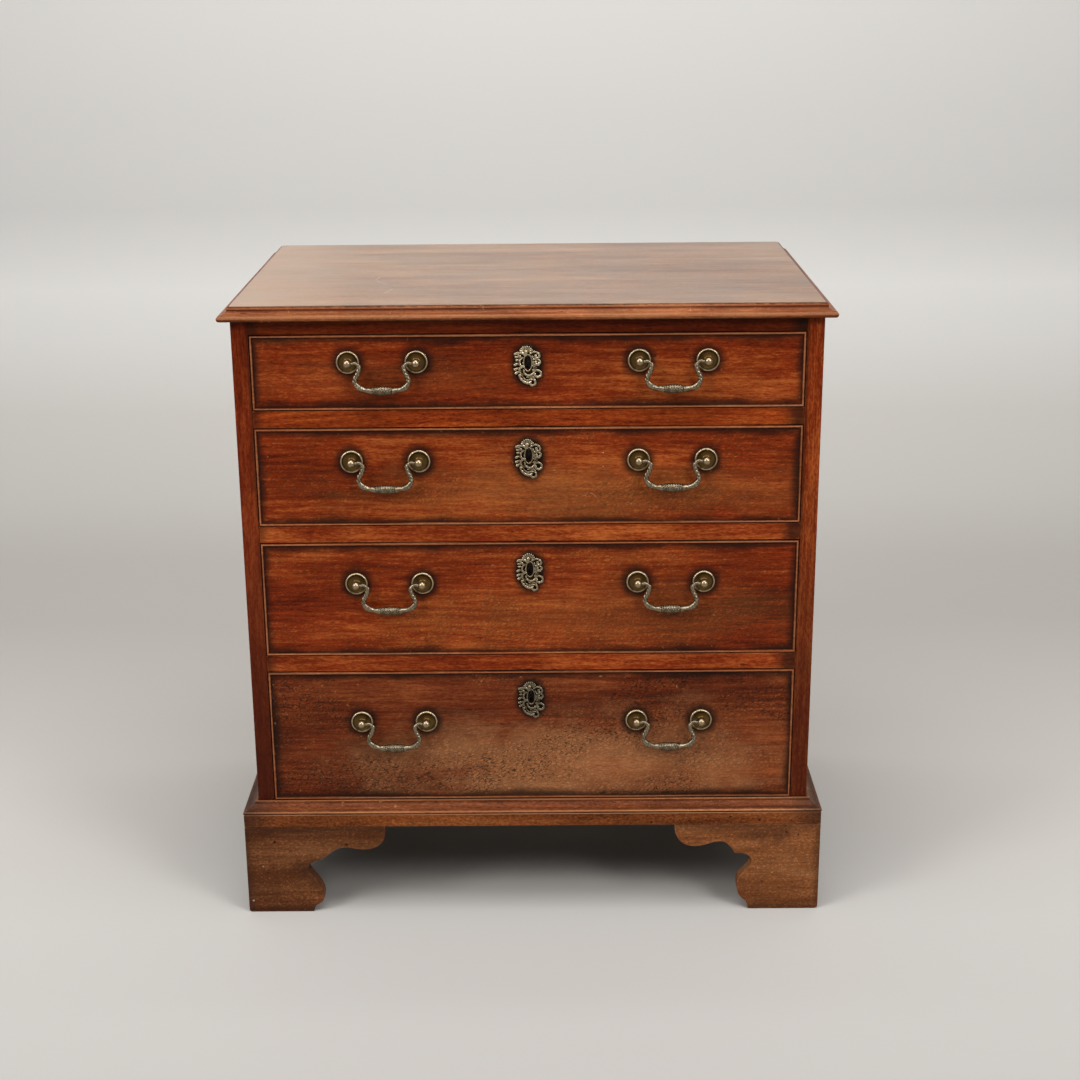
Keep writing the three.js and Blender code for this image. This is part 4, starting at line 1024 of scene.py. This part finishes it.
PLINTH_LINES = [
    (PLINTH_HIGH - 0.4 * MM, 0.9 * MM, (0.50, 0.25, 0.13), 0.85),
    (PLINTH_LOW, 0.8 * MM, GRIME_AND_GAP_SHADE, 0.4),
]

# Where the dirt, the painted shade on the stiles and the feet and the painted sheen on the top start and
# end, and how far they wander
STILE_WIDTH = 22 * MM
STILE_WANDER = 10 * MM
STILE_JOINT = 6 * MM
# Heights between which the painted shade on the stiles fades out upwards
STILE_SHADE_HEIGHTS = (CASE_LOW.z + 0.10, CASE_LOW.z + 0.60)
RAIL_WANDER = 20 * MM
RAIL_RIGHT_END = (0.322, 0.345)
RAIL_LEFT_END = (-0.352, -0.335)
BASE_WANDER = 40 * MM
BASE_JOINT = (0.5 * MM, 3.5 * MM)
BASE_ENDS = (0.335, 0.395)
FOOT_WANDER = 24 * MM
FOOT_CORNER_SHADE = (0.378, 0.396)
FOOT_SOLE = 14 * MM
FOOT_HEAD = (0.112, 0.130)
SHEEN_WANDER = 0.12
SHEEN_END = -0.20

# Dents, scratches and chips that the photograph shows, by place on the front or on the top
CHIP_DROP = 1.5 * MM
CHIPS = [(-0.004, 2.2 * MM), (0.030, 0.9 * MM)]
CHIP_STRETCH = 9.0
SCRATCH_TINT = (0.46, 0.22, 0.11)
SCRATCH_HALF = 0.5 * MM
TOP_SCRATCH_TINT = (0.62, 0.45, 0.29)
TOP_SCRATCH_HALF = 1.0 * MM
TOP_SCRATCHES = [
    [(-0.2021, -0.0347), (-0.2068, -0.0529), (-0.2006, -0.0715), (-0.1867, -0.0901)],
    [(-0.1952, -0.1158), (-0.1819, -0.1118), (-0.1783, -0.1294), (-0.1882, -0.1631)],
]
SECOND_SCRATCHES = [
    [(0.0665, 0.5916), (0.0731, 0.5932), (0.0771, 0.5991)],
    [(0.0731, 0.5932), (0.0750, 0.5902)],
    [(0.0771, 0.5963), (0.0824, 0.5953), (0.0863, 0.5922), (0.0893, 0.5879), (0.0910, 0.5831)],
    [(-0.0393, 0.6641), (-0.0204, 0.6374)],
]
SECOND_NICKS = [
    (0.0958, 0.6505, 1.3 * MM, PALE_DENT),
    (0.0960, 0.6320, 1.2 * MM, PALE_DENT),
    (0.2235, 0.6280, 1.2 * MM, (0.06, 0.015, 0.006)),
]
PLINTH_NICKS = [
    (0.3099, 0.1355, 3.0 * MM, DARK_DENT),
    (0.1626, 0.1335, 2.6 * MM, DARK_DENT),
    (0.2703, 0.1408, 2.2 * MM, DARK_DENT),
    (-0.14, 0.136, 1.8 * MM, DARK_DENT),
]
RIGHT_FOOT_NICKS = [
    (0.3470, 0.1170, 2.4 * MM, DARK_DENT),
    (0.3633, 0.1126, 2.0 * MM, DARK_DENT),
    (0.3290, 0.0560, 1.3 * MM, SCUFF),
]
LEFT_FOOT_NICKS = [
    (-0.3878, 0.0050, 2.6 * MM, (0.02, 0.02, 0.018)),
    (-0.3872, 0.0174, 2.0 * MM, (0.5, 0.42, 0.34)),
    (-0.2549, 0.1022, 3.2 * MM, (0.02, 0.015, 0.012)),
    (-0.3534, 0.1068, 2.4 * MM, GRIME_AND_GAP_SHADE),
    (-0.3712, 0.0700, 1.4 * MM, SCUFF),
]


def stile_low_shade_and_dark_edge(g, grain, colour, gloss):
    """Stiles are darker along the drawer openings, and darker low down as painted shade where the light
    falls off towards the floor.
    """
    x, _, z = g.place()
    wander = (grain.mottle - 0.5) * STILE_WANDER
    inner = abs(x) - (CASE_HIGH.x - STILE_WIDTH)
    joint = g.smooth(inner + wander, 0.0, STILE_JOINT, 0.75, 0.0)
    # Painted shade: darker towards the bottom of the stile
    low = g.smooth(z + wander * 10.0, *STILE_SHADE_HEIGHTS, 0.72, 0.0)
    return g.blend(g.most(joint, low), colour, (0.033, 0.0065, 0.0028)), gloss


def rail_ends(g, grain, colour, gloss):
    """The rails are black with handling at their right ends, and a little at their left."""
    x = g.place()[0] + (grain.mottle - 0.5) * RAIL_WANDER
    right = g.smooth(x, *RAIL_RIGHT_END, 0.0, 0.8)
    left = g.smooth(x, *RAIL_LEFT_END, 0.6, 0.0)
    return g.blend(g.most(left, right), colour, GRIME_AND_GAP_SHADE), gloss


def base_dirt(g, grain, colour, gloss):
    """Dirt lies where the base meets the case and on its ends."""
    x, y, _ = g.place()
    out = g.most(abs(x) - CASE_HIGH.x, CASE_FRONT - y)
    joint = g.smooth(out, *BASE_JOINT, 0.95, 0.0)
    ends = g.smooth(abs(x) + (grain.mottle - 0.5) * BASE_WANDER, *BASE_ENDS, 0.0, 0.75)
    return g.blend(g.most(joint, ends), colour, (0.028, 0.014, 0.009)), gloss


def foot_darkening_and_corner_shade(g, grain, colour, gloss):
    """Feet are darker at the sole, under the plinth and in clouds, and at the outer corner with dirt and
    painted shade.
    """
    x, _, z = g.place()
    wander = (grain.mottle - 0.5) * FOOT_WANDER
    # Dirt and painted shade along the foot's outer corner
    corner = g.smooth(abs(x) + wander, *FOOT_CORNER_SHADE, 0.0, 0.7)
    sole = g.smooth(z + wander, 0.0, FOOT_SOLE, 0.6, 0.0)
    under = g.smooth(z + wander * 0.6, *FOOT_HEAD, 0.0, 0.5)
    cloud = g.smooth(grain.mottle, 0.54, 0.66, 0.0, 0.5)
    dirt = g.most(g.most(corner, sole), g.most(under, cloud))
    return g.blend(dirt, colour, (0.030, 0.013, 0.008)), gloss + 0.1


def top_left_painted_sheen(g, grain, colour, gloss):
    """The top is painted paler towards its left end: a painted sheen standing in for the reflection of the
    light there.
    """
    x = g.place()[0] + (grain.mottle - 0.5) * SHEEN_WANDER
    # Painted reflection, paler towards the left end
    return g.blend(g.smooth(x, CASE_LOW.x, SHEEN_END, 0.55, 0.0), colour, (0.46, 0.30, 0.20)), gloss


def rail(number, seed, palette):
    """A rail's lower edge is chipped over the lock of the drawer beneath."""
    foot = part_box(f"drawer_{number + 1}_cock_bead")[1].z + CHIP_DROP
    chips = [(x, foot, radius, GRIME_AND_GAP_SHADE) for x, radius in CHIPS]
    return polished(
        f"rail_mahogany_{number}", palette, "X", seed,
        tweaks=[(two_woods, RAIL_BACK, OAK, "X", seed + 1), (nicks, chips, CHIP_STRETCH), (rail_ends,)])


def dress_carcass():
    looks = {
        "top_board": polished(
            "top_mahogany", FADED_MAHOGANY, "X", 3, roughness=0.36, contrast=1.1, edge=0.3, shine=0.5,
            Coat_Weight=0.42, Coat_Roughness=0.28,
            tweaks=[(top_left_painted_sheen,),
                    (scratches, TOP_SCRATCHES, TOP_SCRATCH_TINT, TOP_SCRATCH_HALF, TOP_PLANE)]),
        "top_moulding": polished(
            "moulding_mahogany", WORN_MAHOGANY, "X", 5,
            tweaks=[(lines, TOP_LINES, UPWARDS, TOP_RAGGED), (crackled, 0.3, 0.7)]),
        # The sides carry painted shade low down
        "side_left": polished("side_mahogany_left", STILE_MAHOGANY, "Z", 7, tweaks=[(stile_low_shade_and_dark_edge,)]),
        "side_right": polished("side_mahogany_right", MAHOGANY, "Z", 11, tweaks=[(stile_low_shade_and_dark_edge,)]),
        # The top rail's darker wood is painted shade from the top moulding
        "top_rail_frame": rail(0, 13, TOP_RAIL_SHADE_MAHOGANY),
        "drawer_divider_1": rail(1, 17, RAIL_MAHOGANY),
        "drawer_divider_2": rail(2, 19, MAHOGANY),
        "drawer_divider_3": rail(3, 23, MAHOGANY),
        # The bottom's dark pine is partly painted shade
        "carcass_bottom": dry("bottom_pine", AGED_AND_SHADE_PINE, "X", 29),
        "back_boards": dry("back_pine", PINE, "Z", 31),
        "base_moulding": polished(
            "base_moulding_mahogany", BASE_MAHOGANY, "X", 37, coarse=1.2,
            tweaks=[(lines, BASE_LINES, UPWARDS, BASE_RAGGED), (base_dirt,), (crackled, 0.4, 0.5)]),
        "plinth_frame": polished(
            "plinth_mahogany", PLINTH_MAHOGANY, "X", 41, coarse=1.5, contrast=0.8,
            tweaks=[(lines, PLINTH_LINES, UPWARDS, BASE_RAGGED), (nicks, PLINTH_NICKS), (base_dirt,)]),
    }
    for node, material in looks.items():
        paint(node, material)
        soften(node, ARRIS)


def dress_feet():
    front_left = [(crackled, 0.6, 0.3), (nicks, LEFT_FOOT_NICKS)]
    front_right = [(crackled, 0.5, 0.4), (nicks, RIGHT_FOOT_NICKS)]
    for end, side, name, palette, along, seed, edge, wear in (
            ("front", "left", "left", LEFT_FOOT_MAHOGANY, "X", 43, 0.6, front_left),
            ("front", "right", "right", FOOT_MAHOGANY, "X", 45, 0.6, front_right),
            ("rear", "left", "rear_left", LEFT_FOOT_MAHOGANY, "Y", 46, 0.5, []),
            ("rear", "right", "rear_right", LEFT_FOOT_MAHOGANY, "Y", 48, 0.5, [])):
        material = polished(f"foot_mahogany_{name}", palette, along, seed, edge=edge, coarse=1.6,
                            contrast=0.8, tweaks=[(foot_darkening_and_corner_shade,), *wear])
        node = f"foot_{end}_{side}"
        foot = new_piece(f"{node}_bracket", foot_mesh(node, side, end == "rear"), material, "carcass",
                         [node])
        round_arrises(foot, FOOT_ARRIS)


# Drawers, by number: the wood, the spot rubbed pale (its place, reach, strength and colour), and how
# strong the cracks and chips in the polish are
FRONTS = {
    1: (MAHOGANY, (-0.20, 0.75, 0.2, 0.03, 0.15, GOLDEN), (0.35, 0.2)),
    2: (MAHOGANY, (0.08, 0.590, 0.30, 0.05, 0.45, GOLDEN), (0.6, 0.3)),
    3: (MAHOGANY, (0.12, 0.425, 0.30, 0.05, 0.28, GOLDEN), (0.6, 0.3)),
    # The lowest drawer's darker wood is partly painted shade
    4: (LOW_DRAWER_TONE_AND_SHADE_MAHOGANY, (0.065, 0.215, 0.33, 0.072, 0.78, RUBBED), (0.9, 0.45)),
}
BEAD_CROWN = CASE_FRONT - 2.0 * MM
# The bead's black base is dirt and painted shade in the gap round it; its pale crown is wear and painted
# highlight
BEAD_LINES = [(BEAD_CROWN + 2.6 * MM, 2.5 * MM, GRIME_AND_GAP_SHADE, 1.0), (BEAD_CROWN, 0.24 * MM, BEAD_WEAR_AND_HIGHLIGHT, 0.75)]
BEAD_RAGGED = 0.2 * MM
ROSE_BRASS = ((0.012, 0.007, 0.002), (0.125, 0.072, 0.024), (0.52, 0.42, 0.27))
ROSE_HOLLOW = 3 * MM
ROSE_RIM = (11.8 * MM, 14.0 * MM)
BAIL_BRASS = ((0.004, 0.003, 0.002), (0.050, 0.035, 0.019), (0.26, 0.21, 0.14))
BAIL_HOLLOW = 1.2 * MM
PLATE_LIFT = (1.1 * MM, 2.9 * MM)
PLATE_BRASSES = {
    "plate_brass_bright": ((0.005, 0.004, 0.002), (0.11, 0.066, 0.027), (0.48, 0.40, 0.27)),
    "plate_brass": ((0.005, 0.004, 0.002), (0.092, 0.054, 0.023), (0.35, 0.29, 0.195)),
    "plate_brass_dull": ((0.005, 0.004, 0.003), (0.060, 0.039, 0.020), (0.21, 0.175, 0.12)),
}
PLATE_TONES = {1: "plate_brass_bright", 2: "plate_brass", 3: "plate_brass", 4: "plate_brass_dull"}


def dress_drawers():
    iron = iron_finish("lock_iron")
    # The bead carries painted highlight on its crown and painted shade at its base
    bead_wood = polished("bead_mahogany", WORN_MAHOGANY, "X", 47, roughness=0.4, edge=0.0,
                         tweaks=[(lines, BEAD_LINES, OUTWARDS, BEAD_RAGGED)])
    side_oak = dry("drawer_oak_sides", OAK, "Y", 53)
    back_oak = dry("drawer_oak_back", OAK, "X", 59)
    looks = {"cock_bead": bead_wood, "side_left": side_oak, "side_right": side_oak, "back": back_oak,
             "bottom": back_oak, "lock": iron, "lock_bolt": iron}
    rose_brass = brass_finish("rose_brass", *ROSE_BRASS, ROSE_HOLLOW, rim=ROSE_RIM, dull=0.05, rubbed=0.7)
    bail_brass = brass_finish("bail_brass", *BAIL_BRASS, BAIL_HOLLOW, dull=0.04, rubbed=0.75)
    plate_brass = {tone: brass_finish(tone, *colours, lift=PLATE_LIFT)
                   for tone, colours in PLATE_BRASSES.items()}
    plate, swan, plain_post, nut = escutcheon_mesh(), bail_mesh(), post_mesh(), nut_mesh()
    posts = {end: bored(plain_post, end) for end in (-1, 1)}
    for number in DRAWERS:
        drawer = f"drawer_{number}"
        palette, pale_spot, cracks = FRONTS[number]
        wear = [(front_dirt, number, pale_spot), (crackled, *cracks)]
        if number == 2:
            wear += [(scratches, SECOND_SCRATCHES, SCRATCH_TINT, SCRATCH_HALF, FRONT_PLANE),
                     (nicks, SECOND_NICKS)]
        front = polished(f"{drawer}_mahogany", palette, "X", 60 + 7 * number, tweaks=wear, edge=0.0)
        for part, material in looks.items():
            paint(f"{drawer}_{part}", material)
        for part in ("side_left", "side_right", "back", "bottom"):
            soften(f"{drawer}_{part}", ARRIS)
        new_piece(f"{drawer}_front_board", bare_front(number), front, drawer,
                  [f"{drawer}_front"])
        new_piece(f"{drawer}_cast_escutcheon", plate, plate_brass[PLATE_TONES[number]], drawer,
                  [f"{drawer}_escutcheon"], (0.0, CASE_FRONT, key_level(number)))
        for hand in ("left", "right"):
            bail = f"{drawer}_bail_{hand}"
            pivot = PIVOTS[bail]
            new_piece(f"{drawer}_cast_bail_{hand}", swan, bail_brass, bail, [bail], pivot)
            for end, step in (("a", -1), ("b", 1)):
                x = pivot.x + step * HANDLE_SPACING / 2
                new_piece(f"{drawer}_post_{hand}_{end}", posts[step], rose_brass, drawer,
                          place=(x, CASE_FRONT, pivot.z))
                new_piece(f"{drawer}_nut_{hand}_{end}", nut, rose_brass, drawer,
                          place=(x, CASE_FRONT + FRONT_THICKNESS, pivot.z))


make_camera()
make_stage()
make_lights()
bpy.context.scene.view_settings.view_transform = "Standard"
dress_carcass()
dress_feet()
dress_drawers()
